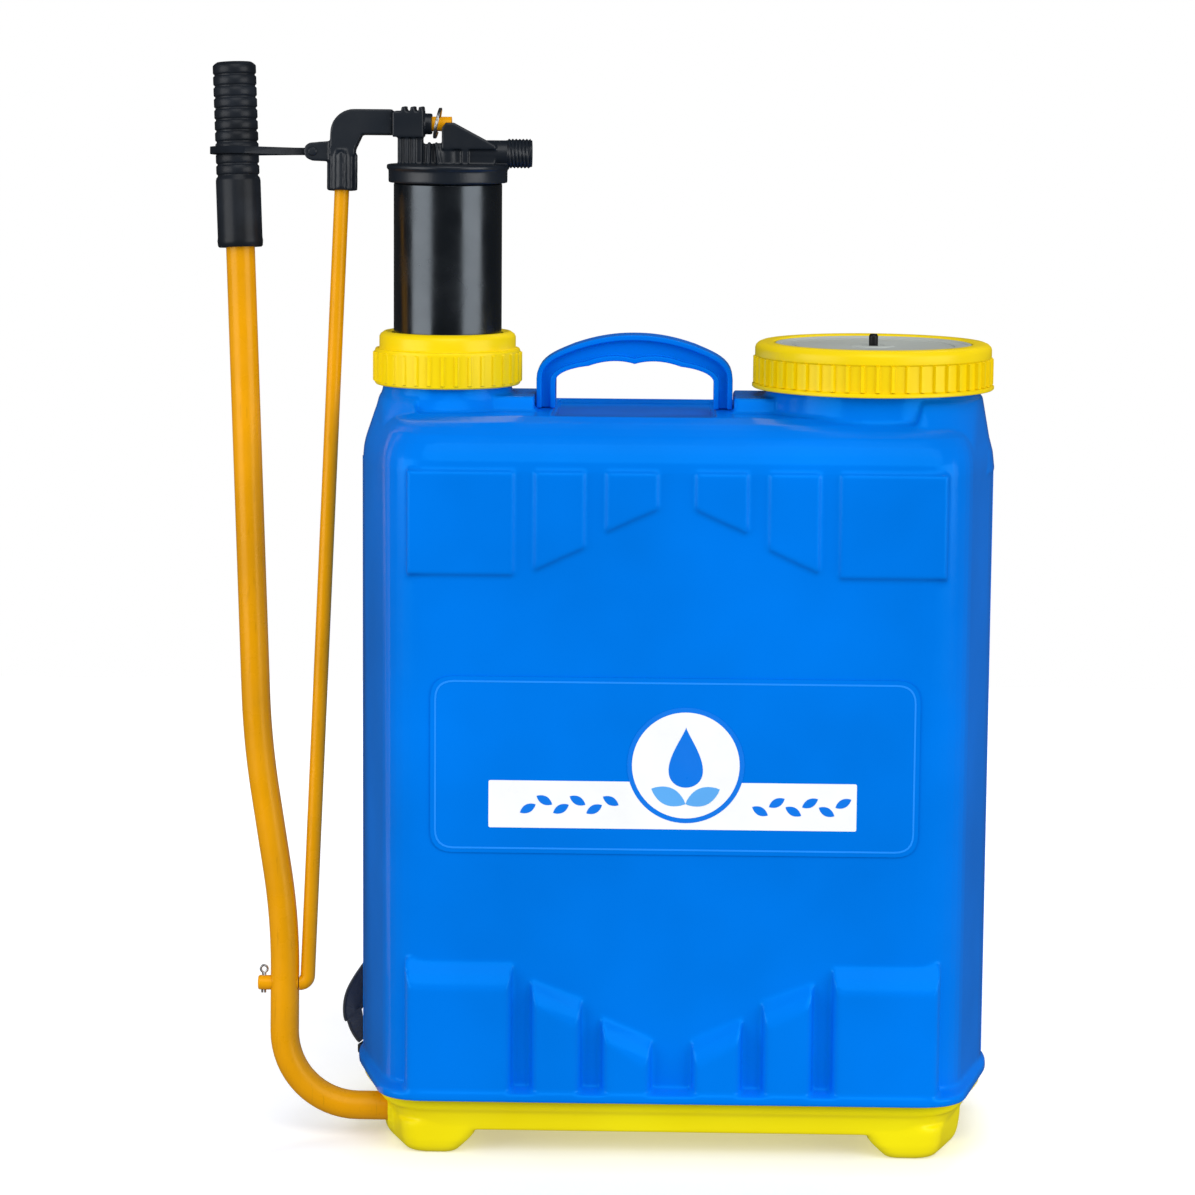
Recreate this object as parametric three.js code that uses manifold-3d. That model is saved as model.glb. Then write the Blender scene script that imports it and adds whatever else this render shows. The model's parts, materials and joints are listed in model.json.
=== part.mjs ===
// Knapsack sprayer with a side lever: a blow-moulded tank on a moulded base, a piston pump whose air chamber
// rises and falls in the tank's left neck, and a wide screwed filler lid on the right.
// Millimetres. X to the right, Y from the front to the wearer's back, Z up from the floor.
// Sizes below are measured from the tank's own middle; the finished group is moved to centre its box.

import * as THREE from 'three';
import { mergeVertices } from 'three/addons/utils/BufferGeometryUtils.js';
import Module from 'manifold-3d';

const wasm = await Module();
wasm.setup();

// ------------------------------------------------------------------ driving dimensions

const GAP = 0.3; // between pieces that touch
const CENTRING = { x: 46.5, y: -11.75 }; // moves the whole group so that its box is centred on the origin

const TANK = {
  bottom: 38,
  flangeTop: 46,
  straightTop: 430,
  shoulder: 461,
  wall: 3,
  body: { middle: 202.4, front: 174, depth: 92 }, // half widths at mid depth and at the front, half depth
  flange: { middle: 205, front: 178, depth: 97 },
  cornerReach: 24, // how far each plan corner is rounded along its sides
  cornerSteps: 3,
};

// Inset of the tank's plan as the shoulder closes over: height, then what each half size loses.
const SHOULDER_RINGS = [
  { z: 441, middle: 1.5, front: 1, depth: 3 },
  { z: 451, middle: 5, front: 4, depth: 10 },
  { z: 458, middle: 8, front: 9, depth: 21 },
  { z: TANK.shoulder, middle: 12, front: 16, depth: 32 },
];

const PUMP = { x: -145.7, neck: 40.5, bore: 37.2, rim: 486 };
const FILLER = { x: 122.4, neck: 67, bore: 62, rim: 489 };
const DECKS = [{ from: -120, to: -89.6 }, { from: 34.6, to: 80 }];
const DECK = { top: 470, halfDepth: 34, slope: 5 };
// The corner facets that rise to each neck: where they start, and the arc of the neck that they meet.
const CORNER_FACETS = [
  { side: -1, from: 158, axis: -145.7, radius: 43, top: 468 },
  { side: 1, from: 136, axis: 122.4, radius: 69, top: 471 },
];
const PLATFORM = { x: -27.5, halfWidth: 50, halfDepth: 56, depth: 3.5 };

// Raised panels low on the front: inner and outer half widths, top at the outer side, fall towards the middle.
const FRONT_PANELS = [
  { inner: 98.7, outer: 165.6, top: 126, fall: 0 },
  { inner: 55.6, outer: 87.3, top: 116, fall: 12 },
  { inner: 12.2, outer: 43.6, top: 93, fall: 14 },
];
const PANEL = { proud: 9, topBevel: 15, sideBevel: 2.5 };

const BASE = {
  top: TANK.bottom - GAP,
  rimBottom: 30.5,
  skirtBottom: 16,
  wall: 3,
  rim: { middle: 199, front: 171, depth: 91 },
  skirt: { middle: 197, front: 169, depth: 89 },
  foot: { inner: 120, outerNear: 165, outerFar: 180, front: 86, back: 31, slope: 11, round: 8 },
};

const BASE_SCREW = { x: 100, y: 45, shank: 2, head: 4.2, headHeight: 3, reach: 12, boss: 7 };

const LEVER = {
  y: -50, // shaft axis, along X
  z: 20,
  lean: THREE.MathUtils.degToRad(4.4), // the grip leans back to meet the pump at rest
  outer: 9,
  inner: 7.8,
  top: { x: -279.6, h: 652 },
  upperBend: { x: -263.3, h: 231, reach: 32 },
  lowerBend: { x: -245.2, h: 118, reach: 32 },
  footBendReach: 47,
  shaftEnd: -133,
};

const CRANK = 77.6; // shaft axis to the link rod's hole, along the lever
const HEAD_PIN = { y: 0, z: 638 }; // the link rod's upper axis, along X

const ROD = {
  radius: 4.6,
  endX: -143.4,
  cornerX: -210.5,
  lowerX: -230.9,
  upperReach: 12,
  lowerReach: 4.7,
  stopX: -235.9, // bent end, clear of the lever's side
  cotterX: -151.7,
};

const GRIP = { bottom: 542, ribsFrom: 586, top: 657.5, sleeve: 14, rib: 13.5, groove: 12.2, ribs: 10 };

const BUSHES = [
  { from: -179, to: -161 },
  { from: -157, to: -146 },
];
const BUSH = { inner: 9.3, outer: 11.9, housing: 15 };

const CHAMBER = { outer: 34, inner: 31, bottom: 355, top: 601.4, floor: 4 };
const BARREL = { outer: 36.6, inner: 34.7, flange: 41.3, coneTop: 262, coneBottom: 240, narrow: 22, bottom: 88 };
const PLUNGER = { outer: 11, inner: 8.5, bottom: 202, top: 372 };
const PISTON = { bottom: 190, top: 214, cup: 21.6, body: 20.6 };
const SUCTION = { seat: 76, bottom: 70, ball: 6.5, hole: 5, ballRoom: 7.3 };
const COLLAR = { outer: 48.5, plain: 43, inner: 41.7, bottom: 475.3, step: 497.7, top: 508.6, ribs: 36 };
const LID = { outer: 76, plain: 74, bottom: 475.3, ribTop: 495, top: 504, ribs: 52, disc: 61.9 };
const HEAD = { plateTop: 613, plate: 38.2, outletZ: 620, outletEnd: -93 };

const STRAP = { width: 30, padWidth: 58, padThickness: 13, webThickness: 2.2, backFace: 92 };
const HOOKS = [
  { side: -1, y: 36 },
  { side: 1, y: 50 },
];

const FINISHES = {
  tankBlue: [0x0078e9, 0.28, 0],
  handleBlue: [0x0a6be0, 0.35, 0],
  yellow: [0xf5dc03, 0.4, 0],
  leverYellow: [0xe8aa05, 0.35, 0.1],
  black: [0x16191c, 0.45, 0],
  rubber: [0x101112, 0.8, 0],
  grey: [0xbec3be, 0.4, 0],
  white: [0xf2f2f0, 0.5, 0],
  natural: [0xe6e4da, 0.5, 0],
  steel: [0xb8bbbe, 0.35, 0.9],
  webbing: [0x17181a, 0.9, 0],
  padding: [0x1d2024, 0.95, 0],
};

// ------------------------------------------------------------------ solids

const MERGE_TOLERANCE = 1e-4;

// Positions only, shared corners merged, flat triangles dropped, faces turned outwards.
function closed(shape) {
  if (shape instanceof wasm.Manifold) return fromSolid(shape);
  const bare = new THREE.BufferGeometry();
  bare.setAttribute('position', shape.getAttribute('position'));
  bare.setIndex(shape.index);
  const merged = mergeVertices(bare, MERGE_TOLERANCE);
  const corners = merged.index.array;
  const kept = [];
  for (let i = 0; i < corners.length; i += 3) {
    const [a, b, c] = corners.slice(i, i + 3);
    if (a !== b && b !== c && c !== a) kept.push(a, b, c);
  }
  merged.setIndex(kept);
  return signedVolume(merged) < 0 ? insideOut(merged) : merged;
}

function signedVolume(geometry) {
  const position = geometry.getAttribute('position');
  const [a, b, c] = [new THREE.Vector3(), new THREE.Vector3(), new THREE.Vector3()];
  let sum = 0;
  for (let i = 0; i < geometry.index.count; i += 3) {
    a.fromBufferAttribute(position, geometry.index.getX(i));
    b.fromBufferAttribute(position, geometry.index.getX(i + 1));
    c.fromBufferAttribute(position, geometry.index.getX(i + 2));
    sum += a.dot(b.cross(c));
  }
  return sum;
}

function insideOut(geometry) {
  const turned = Array.from(geometry.index.array);
  for (let i = 0; i < turned.length; i += 3) [turned[i], turned[i + 1]] = [turned[i + 1], turned[i]];
  return geometry.setIndex(turned);
}

function toSolid(shape) {
  if (shape instanceof wasm.Manifold) return shape;
  const geometry = closed(shape);
  const vertProperties = new Float32Array(geometry.getAttribute('position').array);
  const triVerts = new Uint32Array(geometry.index.array);
  return new wasm.Manifold(new wasm.Mesh({ numProp: 3, vertProperties, triVerts }));
}

function fromSolid(solid) {
  const { vertProperties, triVerts } = solid.getMesh();
  const geometry = new THREE.BufferGeometry();
  geometry.setAttribute('position', new THREE.BufferAttribute(vertProperties, 3));
  return geometry.setIndex(new THREE.BufferAttribute(triVerts, 1));
}

const join = (...shapes) => shapes.map(toSolid).reduce((whole, shape) => whole.add(shape));
const cut = (body, ...tools) => tools.map(toSolid).reduce((rest, tool) => rest.subtract(tool), toSolid(body));

// A profile of [radius, height] points turned about Z.
function turned(profile, segments = 16) {
  const points = profile.map(([radius, height]) => new THREE.Vector2(radius, height));
  return new THREE.LatheGeometry(points, segments).rotateX(Math.PI / 2);
}

const disc = (radius, low, high, segments) =>
  turned([[0, low], [radius, low], [radius, high], [0, high]], segments);

const ring = (inner, outer, low, high, segments) =>
  turned([[inner, low], [outer, low], [outer, high], [inner, high], [inner, low]], segments);

// The same two, lying along X from one place to another, on the axis y, z.
const alongX = (shape, y, z) => shape.rotateY(Math.PI / 2).translate(0, y, z);
const shaft = (radius, from, to, y, z, segments) => alongX(disc(radius, from, to, segments), y, z);
const sleeve = (inner, outer, from, to, y, z, segments) =>
  alongX(ring(inner, outer, from, to, segments), y, z);

function block([x0, y0, z0], [x1, y1, z1]) {
  const box = new THREE.BoxGeometry(x1 - x0, y1 - y0, z1 - z0);
  return box.translate((x0 + x1) / 2, (y0 + y1) / 2, (z0 + z1) / 2);
}

// A flat outline of [x, z] points, thick along Y.
function plateXZ(outline, yFrom, yTo) {
  const shape = new THREE.Shape(outline.map(([x, z]) => new THREE.Vector2(x, z)));
  const plate = new THREE.ExtrudeGeometry(shape, { depth: yTo - yFrom, bevelEnabled: false });
  return plate.rotateX(Math.PI / 2).translate(0, yTo, 0);
}

// A skin over convex rings of equal count, closed by a fan at each end.
function skin(rings) {
  const count = rings[0].length;
  const index = [];
  for (let i = 0; i + 1 < rings.length; i++) {
    for (let j = 0; j < count; j++) {
      const [a, b] = [i * count + j, i * count + ((j + 1) % count)];
      index.push(a, b, b + count, a, b + count, a + count);
    }
  }
  const last = (rings.length - 1) * count;
  for (let j = 1; j + 1 < count; j++) index.push(0, j + 1, j, last, last + j, last + j + 1);
  return new THREE.BufferGeometry().setFromPoints(rings.flat()).setIndex(index);
}

// Each corner of a polygon rounded along `reach` of its two sides.
function roundedPlan(corners, reach, steps, z) {
  const path = new THREE.Path();
  corners.forEach(([x, y], i) => {
    const corner = new THREE.Vector2(x, y);
    const before = new THREE.Vector2(...corners.at(i - 1));
    const after = new THREE.Vector2(...corners[(i + 1) % corners.length]);
    const start = before.sub(corner).setLength(reach).add(corner);
    const end = after.sub(corner).setLength(reach).add(corner);
    if (i === 0) path.moveTo(start.x, start.y);
    else path.lineTo(start.x, start.y);
    path.quadraticCurveTo(x, y, end.x, end.y);
  });
  return path.getPoints(steps).map((point) => new THREE.Vector3(point.x, point.y, z));
}

// The six-sided plan shared by the tank and the base, widest at mid depth.
function sixSided({ middle, front, depth }, z, wall = 0) {
  const [m, f, d] = [middle - wall, front - wall, depth - wall];
  const corners = [[-f, -d], [f, -d], [m, 0], [f, d], [-f, d], [-m, 0]];
  return roundedPlan(corners, TANK.cornerReach, TANK.cornerSteps, z);
}

// Points along straight runs joined by round bends; a corner is [x, y, z] with an optional reach for its bend.
function bentLine(corners, bendSteps = 4) {
  const points = corners.map(([x, y, z]) => new THREE.Vector3(x, y, z));
  const stations = [points[0]];
  for (let i = 1; i + 1 < points.length; i++) {
    const into = points[i].clone().sub(points[i - 1]).normalize();
    const out = points[i + 1].clone().sub(points[i]).normalize();
    const turn = into.angleTo(out);
    const reach = corners[i][3];
    const radius = reach / Math.tan(turn / 2);
    const inwards = out.clone().addScaledVector(into, -Math.cos(turn)).normalize();
    const start = points[i].clone().addScaledVector(into, -reach);
    const centre = start.clone().addScaledVector(inwards, radius);
    for (let step = 0; step <= bendSteps; step++) {
      const angle = (turn * step) / bendSteps;
      const station = centre.clone().addScaledVector(inwards, -radius * Math.cos(angle));
      stations.push(station.addScaledVector(into, radius * Math.sin(angle)));
    }
  }
  return [...stations, points.at(-1)];
}

// A centreline swept one station at a time, so that a straight run costs a single step.
class StationPath extends THREE.Curve {
  constructor(stations) {
    super();
    this.stations = stations;
  }

  getPointAt(u) {
    const place = u * (this.stations.length - 1);
    const i = Math.min(Math.floor(place + 1e-9), this.stations.length - 2);
    return this.stations[i].clone().lerp(this.stations[i + 1], place - i);
  }

  getTangentAt(u) {
    const i = Math.round(u * (this.stations.length - 1));
    const before = this.stations[Math.max(i - 1, 0)];
    const after = this.stations[Math.min(i + 1, this.stations.length - 1)];
    const here = this.stations[i];
    const into = i === 0 ? after.clone().sub(here) : here.clone().sub(before);
    const out = after === here ? into : after.clone().sub(here);
    return into.normalize().clone().add(out.normalize()).normalize();
  }
}

function pipe(stations, outer, inner = 0, curveSegments = 6) {
  const section = new THREE.Shape().absarc(0, 0, outer, 0, 2 * Math.PI);
  if (inner > 0) section.holes.push(new THREE.Path().absarc(0, 0, inner, 0, 2 * Math.PI));
  const extrudePath = new StationPath(stations);
  return new THREE.ExtrudeGeometry(section, { steps: stations.length - 1, extrudePath, curveSegments });
}

// A flat band along stations of [x, y, z, facing x, facing y]; the facing is the way its broad side looks.
function ribbon(stations, width, thickness) {
  const points = stations.map(([x, y, z]) => new THREE.Vector3(x, y, z));
  const rings = stations.map(([, , , faceX, faceY], i) => {
    const along = points[Math.min(i + 1, points.length - 1)].clone().sub(points[Math.max(i - 1, 0)]);
    const facing = new THREE.Vector3(faceX, faceY, 0);
    const across = along.clone().cross(facing).setLength(width / 2);
    const out = across.clone().cross(along).setLength(thickness / 2);
    const corner = (a, b) => points[i].clone().addScaledVector(across, a).addScaledVector(out, b);
    return [corner(-1, -1), corner(1, -1), corner(1, 1), corner(-1, 1)];
  });
  return skin(rings);
}

// A ring whose outside carries narrow upright ribs.
function ribbedRing(inner, root, crest, ribs, low, high) {
  const outline = new THREE.Shape();
  const pitch = (2 * Math.PI) / ribs;
  for (let i = 0; i < ribs; i++) {
    const at = (radius, share) => {
      const angle = pitch * (i + share);
      return [radius * Math.cos(angle), radius * Math.sin(angle)];
    };
    if (i === 0) outline.moveTo(...at(root, 0));
    else outline.lineTo(...at(root, 0));
    outline.lineTo(...at(crest, 0.15));
    outline.lineTo(...at(crest, 0.4));
  }
  outline.holes.push(new THREE.Path().absarc(0, 0, inner, 0, 2 * Math.PI, true));
  const options = { depth: high - low, bevelEnabled: false, curveSegments: 12 };
  return new THREE.ExtrudeGeometry(outline, options).translate(0, 0, low);
}

function piece(name, finish, shape) {
  const [color, roughness, metalness] = FINISHES[finish];
  const mesh = new THREE.Mesh(closed(shape), new THREE.MeshStandardMaterial({ color, roughness, metalness }));
  mesh.name = name;
  return mesh;
}

function group(...members) {
  return new THREE.Group().add(...members);
}

// ------------------------------------------------------------------ tank

function tankShell(wall) {
  const { body, flange, bottom, flangeTop, straightTop } = TANK;
  const floor = bottom + wall;
  const lower = wall > 0 ? [[body, floor]] : [[flange, bottom], [flange, flangeTop - 2], [body, flangeTop]];
  const rings = [...lower, [body, straightTop]].map(([plan, z]) => sixSided(plan, z, wall));
  for (const inset of SHOULDER_RINGS) {
    const plan = {
      middle: body.middle - inset.middle,
      front: body.front - inset.front,
      depth: body.depth - inset.depth,
    };
    rings.push(sixSided(plan, inset.z - 2.3 * wall, wall));
  }
  return skin(rings);
}

// A neck that flares into the shoulder; the flare keeps the wall when it is drawn again for the hollow.
function pumpNeck(wall, low, high) {
  const foot = [[0, low], [52 - wall, low], [50 - wall, 446], [44 - wall, 464]];
  const neck = PUMP.neck - (wall > 0 ? PUMP.neck - PUMP.bore : 0);
  return turned([...foot, [neck, 474], [neck, high], [0, high]], 20).translate(PUMP.x, 0, 0);
}

function fillerNeck(wall, low, high) {
  const foot = [[0, low], [77 - wall, low], [75 - wall, 437], [71.5 - wall, 447], [68.4 - wall, 465]];
  const neck = FILLER.neck - (wall > 0 ? FILLER.neck - FILLER.bore : 0);
  return turned([...foot, [neck, 472], [neck, high], [0, high]], 24).translate(FILLER.x, 0, 0);
}

// One raised panel on the front, its top sloped back into the wall.
function frontPanel({ inner, outer, top, fall }, side) {
  const face = -TANK.body.depth;
  const outlineAt = (y, bevel, lowered) =>
    [
      [inner + bevel, TANK.bottom + 2],
      [outer - bevel, TANK.bottom + 2],
      [outer - bevel, top - lowered],
      [inner + bevel, top - fall - lowered],
    ].map(([x, z]) => new THREE.Vector3(side * x, y, z));
  return skin([outlineAt(face + 1, 0, 0), outlineAt(face - PANEL.proud, PANEL.sideBevel, PANEL.topBevel)]);
}

// The solid stretched over the tank's outer corners at the shoulder's foot and the outer side of a neck.
function cornerFacets({ side, from, axis, radius, top }) {
  const { body, straightTop } = TANK;
  const low = sixSided(body, straightTop).filter((point) => side * point.x >= from);
  const edges = [-1, 1].map((end) => new THREE.Vector3(side * from, end * (body.depth - 0.4), straightTop));
  const arc = Array.from({ length: 13 }, (_, i) => {
    const angle = THREE.MathUtils.degToRad(-66 + 11 * i);
    return new THREE.Vector3(axis + side * radius * Math.cos(angle), radius * Math.sin(angle), top);
  });
  return wasm.Manifold.hull([...low, ...edges, ...arc].map((point) => point.toArray()));
}

// A raised deck between a neck and a leg of the handle.
function shoulderDeck({ from, to }) {
  const { top, halfDepth, slope } = DECK;
  const outlineAt = (z, inset) => {
    const reach = halfDepth - inset;
    return [[from, -reach], [to, -reach], [to, reach], [from, reach]].map(([x, y]) => new THREE.Vector3(x, y, z));
  };
  return skin([outlineAt(TANK.shoulder - 6, 0), outlineAt(top, slope)]);
}

function screwPlaces() {
  const { x, y } = BASE_SCREW;
  return [[-x, -y], [x, -y], [-x, y], [x, y]];
}

function bracketScrewPlaces() {
  return [-1, 1].map((side) => ({ side, x: side * 11, z: 437 }));
}

const alongY = (shape, x, z) => shape.rotateX(-Math.PI / 2).translate(x, 0, z);

function tank() {
  const { boss, shank, reach } = BASE_SCREW;
  const back = STRAP.backFace;
  let outside = join(tankShell(0), pumpNeck(0, 430, PUMP.rim), fillerNeck(0, 427, FILLER.rim));
  const { x, halfWidth, halfDepth, depth } = PLATFORM;
  const recessLow = [x - halfWidth, -halfDepth, TANK.shoulder - depth];
  outside = cut(outside, block(recessLow, [x + halfWidth, halfDepth, TANK.shoulder + 1]));
  for (const panel of FRONT_PANELS) outside = join(outside, frontPanel(panel, -1), frontPanel(panel, 1));
  for (const place of DECKS) outside = join(outside, shoulderDeck(place));
  for (const facets of CORNER_FACETS) outside = join(outside, cornerFacets(facets));
  let shell = cut(outside, join(tankShell(TANK.wall), pumpNeck(3.2, 428, 500), fillerNeck(3.2, 425, 500)));
  for (const [sx, sy] of screwPlaces()) {
    shell = join(shell, disc(boss, TANK.bottom + 1, TANK.bottom + reach + 4, 8).translate(sx, sy, 0));
    shell = cut(shell, disc(shank + GAP, TANK.bottom - 1, TANK.bottom + reach, 8).translate(sx, sy, 0));
  }
  for (const place of bracketScrewPlaces()) {
    shell = join(shell, alongY(disc(6, back - 13, back - 1, 8), place.x, place.z));
    shell = cut(shell, alongY(disc(shank + GAP, back - 10, back + 1, 8), place.x, place.z));
  }
  return piece('tank', 'tankBlue', shell);
}

// The carry handle: a channel bent over the platform, its inner edge waved for the fingers.
function carryHandle() {
  const [outer, inner, low, top] = [61.6, 50.6, TANK.shoulder - PLATFORM.depth + GAP, 507.6];
  const foot = TANK.shoulder + GAP;
  const arch = new THREE.Shape();
  arch.moveTo(-outer, foot);
  arch.lineTo(-outer, 480);
  arch.bezierCurveTo(-outer, 492, -50, 496, -38, 501);
  arch.bezierCurveTo(-22, top - 1, -10, top, 0, top);
  arch.bezierCurveTo(10, top, 22, top - 1, 38, 501);
  arch.bezierCurveTo(50, 496, outer, 492, outer, 480);
  arch.lineTo(outer, foot);
  arch.lineTo(inner - 0.9, foot);
  arch.lineTo(inner - 0.9, 478);
  arch.bezierCurveTo(inner - 1, 484, 38, 487, 29, 488);
  arch.quadraticCurveTo(15, 495.5, 0, 489.5);
  arch.quadraticCurveTo(-15, 495.5, -29, 488);
  arch.bezierCurveTo(-38, 487, -inner + 1, 484, -inner + 0.9, 478);
  arch.lineTo(-inner + 0.9, foot);
  const body = new THREE.ExtrudeGeometry(arch, { depth: 24, bevelEnabled: false, curveSegments: 5 });
  body.rotateX(Math.PI / 2).translate(PLATFORM.x, 12, 0);
  const tongues = [-1, 1].map((side) => {
    const x = PLATFORM.x + side * (inner - 3.2);
    return block([x - 2.4, -8, low], [x + 2.4, 8, foot + 12]);
  });
  return piece('carry_handle', 'handleBlue', join(body, ...tongues));
}

function frontLabel() {
  const [halfWidth, low, high, thickness] = [150, 194, 304, 0.7];
  const face = -TANK.body.depth - GAP;
  const corners = [[-halfWidth, low], [halfWidth, low], [halfWidth, high], [-halfWidth, high]];
  const outline = roundedPlan(corners, 11, 3, 0).map((point) => [point.x, point.y]);
  return piece('front_label', 'white', plateXZ(outline, face - thickness, face));
}

// ------------------------------------------------------------------ base

// One hollow foot, drawn for the quarter with x < 0, y < 0 and mirrored to the others.
function foot(mirrorX, mirrorY, wall) {
  const { inner, outerNear, outerFar, front, back, slope, round } = BASE.foot;
  const planAt = (z, narrowing, rounding) => {
    const corners = [
      [-(inner + narrowing + wall), -(front - rounding - wall)],
      [-(inner + narrowing + wall), -(back + rounding + wall)],
      [-(outerFar - rounding - wall), -(back + rounding + wall)],
      [-(outerNear - rounding - wall), -(front - rounding - wall)],
    ];
    return roundedPlan(corners, round, 1, z);
  };
  const bottom = wall > 0 ? BASE.wall : 0;
  const rings = [planAt(bottom, slope, 7), planAt(bottom + 3, slope - 2, 2.5), planAt(bottom + 8, slope - 5, 0.6)];
  rings.push(planAt(BASE.skirtBottom + 4, 0, 0));
  return skin(rings).scale(mirrorX, mirrorY, 1);
}

const footSides = [[1, 1], [-1, 1], [1, -1], [-1, -1]];

// The wall that a strap's hook passes through, as a place on it and the way it looks.
function hookWall({ side, y }) {
  const { middle, front, depth } = BASE.skirt;
  const x = side * (middle - ((middle - front) * y) / depth);
  const lean = Math.atan2(middle - front, depth);
  return { x, y, turn: side > 0 ? lean : Math.PI - lean };
}

function hookFrame(hook) {
  const wall = hookWall(hook);
  const frame = new THREE.Group();
  frame.position.set(wall.x, wall.y, 0);
  frame.rotation.z = wall.turn;
  frame.updateMatrixWorld(true);
  return frame;
}

function base() {
  const { top, rimBottom, skirtBottom, wall, rim, skirt } = BASE;
  const outside = skin([
    sixSided(skirt, skirtBottom),
    sixSided(skirt, rimBottom - 1.5),
    sixSided(rim, rimBottom),
    sixSided(rim, top),
  ]);
  const hollow = skin([sixSided(skirt, skirtBottom - 2, wall), sixSided(skirt, top - wall, wall)]);
  let shell = join(outside, ...footSides.map(([mx, my]) => foot(mx, my, 0)));
  shell = cut(shell, hollow, ...footSides.map(([mx, my]) => foot(mx, my, wall)));
  const { y, z } = LEVER;
  const [outerBush, innerBush] = BUSHES;
  const rib = block([innerBush.from + 2, y - 34, 2], [innerBush.to - 3, y + 26, top - 1]);
  shell = join(shell, rib);
  for (const { from, to } of BUSHES) shell = join(shell, shaft(BUSH.housing, from + 0.5, to, y, z, 14));
  shell = cut(shell, shaft(BUSH.inner + 0.2, -210, innerBush.to + 1, y, z, 14));
  shell = cut(shell, shaft(BUSH.outer + GAP, outerBush.from + 4, outerBush.to + 1, y, z, 14));
  shell = cut(shell, shaft(BUSH.outer + GAP, innerBush.from + 3, innerBush.to + 1, y, z, 14));
  for (const [sx, sy] of screwPlaces()) {
    shell = cut(shell, disc(BASE_SCREW.shank + 2 * GAP, top - 10, top + 1, 10).translate(sx, sy, 0));
  }
  for (const hook of HOOKS) {
    shell = cut(shell, block([-9, -13, 19], [4, 13, 24]).applyMatrix4(hookFrame(hook).matrixWorld));
  }
  return piece('base', 'yellow', shell);
}

function baseScrews() {
  const { shank, head, headHeight, reach } = BASE_SCREW;
  const underPlate = BASE.top - BASE.wall - GAP;
  const profile = [
    [0, underPlate - headHeight],
    [head - 1, underPlate - headHeight],
    [head, underPlate - headHeight + 1],
    [head, underPlate],
    [shank, underPlate],
    [shank, TANK.bottom + reach - 2],
    [0, TANK.bottom + reach - 0.6],
  ];
  return screwPlaces().map(([x, y], i) => {
    const screw = piece(`base_screw_${i + 1}`, 'steel', turned(profile, 10));
    screw.position.set(x, y, 0);
    return screw;
  });
}

function leverBushes() {
  const { y, z } = LEVER;
  const [outerBush, innerBush] = BUSHES;
  return group(
    piece('lever_bush_outer', 'natural', sleeve(BUSH.inner, BUSH.outer, outerBush.from + 4.3, outerBush.to, y, z, 14)),
    piece('lever_bush_inner', 'natural', sleeve(BUSH.inner, BUSH.outer, innerBush.from + 3.3, innerBush.to, y, z, 14)),
  );
}

// ------------------------------------------------------------------ pump, fixed parts

function pumpBarrel() {
  const { outer, inner, flange, coneTop, coneBottom, narrow, bottom } = BARREL;
  const [rim, wall] = [PUMP.rim + 2.1, 2.6];
  return piece('pump_barrel', 'natural', turned([
    [SUCTION.ballRoom + 2.7, bottom], [narrow + wall, bottom], [narrow + wall, coneBottom],
    [outer, coneTop], [outer, rim], [flange, rim], [flange, rim + 3],
    [inner, rim + 3], [inner, coneTop + 1], [narrow, coneBottom + 3], [narrow, bottom + 4],
    [SUCTION.ballRoom + 2.7, bottom + 4], [SUCTION.ballRoom + 2.7, bottom],
  ], 20));
}

function suctionSeat() {
  const { seat, bottom, hole, ballRoom } = SUCTION;
  const [body, spigot, lip] = [16, ballRoom + 2.4, 94];
  return piece('suction_valve_seat', 'black', turned([
    [hole, bottom], [body, bottom], [body, BARREL.bottom - GAP], [spigot, BARREL.bottom - GAP],
    [spigot, lip], [hole + 0.2, lip], [hole + 0.2, lip - 2], [ballRoom, lip - 2],
    [ballRoom, seat], [hole, seat], [hole, bottom],
  ], 14));
}

function ball(name, radius, z) {
  return piece(name, 'steel', new THREE.SphereGeometry(radius, 10, 6).rotateX(Math.PI / 2).translate(0, 0, z));
}

const seatedBall = (radius, hole, seat) => seat + Math.sqrt(radius ** 2 - hole ** 2) + 0.15;

// A cup with tall windows round its side and an open top.
function strainer(name, { inner, outer, lip, low, high, windows, sill, lintel }) {
  const cup = turned([
    [0, low], [outer, low], [outer, high - 1.5], [lip, high - 1.5], [lip, high],
    [inner, high], [inner, low + 1.6], [0, low + 1.6],
  ], windows * 2);
  const openings = [];
  for (let i = 0; i < windows; i++) {
    const width = (Math.PI * outer) / windows;
    const window = block([inner - 3, -width / 2, sill], [outer + 3, width / 2, lintel]);
    openings.push(window.rotateZ((2 * Math.PI * (i + 0.5)) / windows));
  }
  return piece(name, 'natural', cut(cup, ...openings));
}

function fixedPump() {
  const { rim } = PUMP;
  const { ball: ballRadius, hole, seat, bottom } = SUCTION;
  const assembly = group(
    piece('barrel_gasket', 'rubber', ring(37.6, 40.2, rim + GAP, rim + 1.8, 20)),
    pumpBarrel(),
    suctionSeat(),
    ball('suction_ball', ballRadius, seatedBall(ballRadius, hole, seat)),
    strainer('suction_strainer', {
      inner: 13, outer: 14.6, lip: 15.5, low: 47, high: bottom - GAP, windows: 6, sill: 52, lintel: 64,
    }),
  );
  assembly.position.x = PUMP.x;
  return assembly;
}

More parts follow.
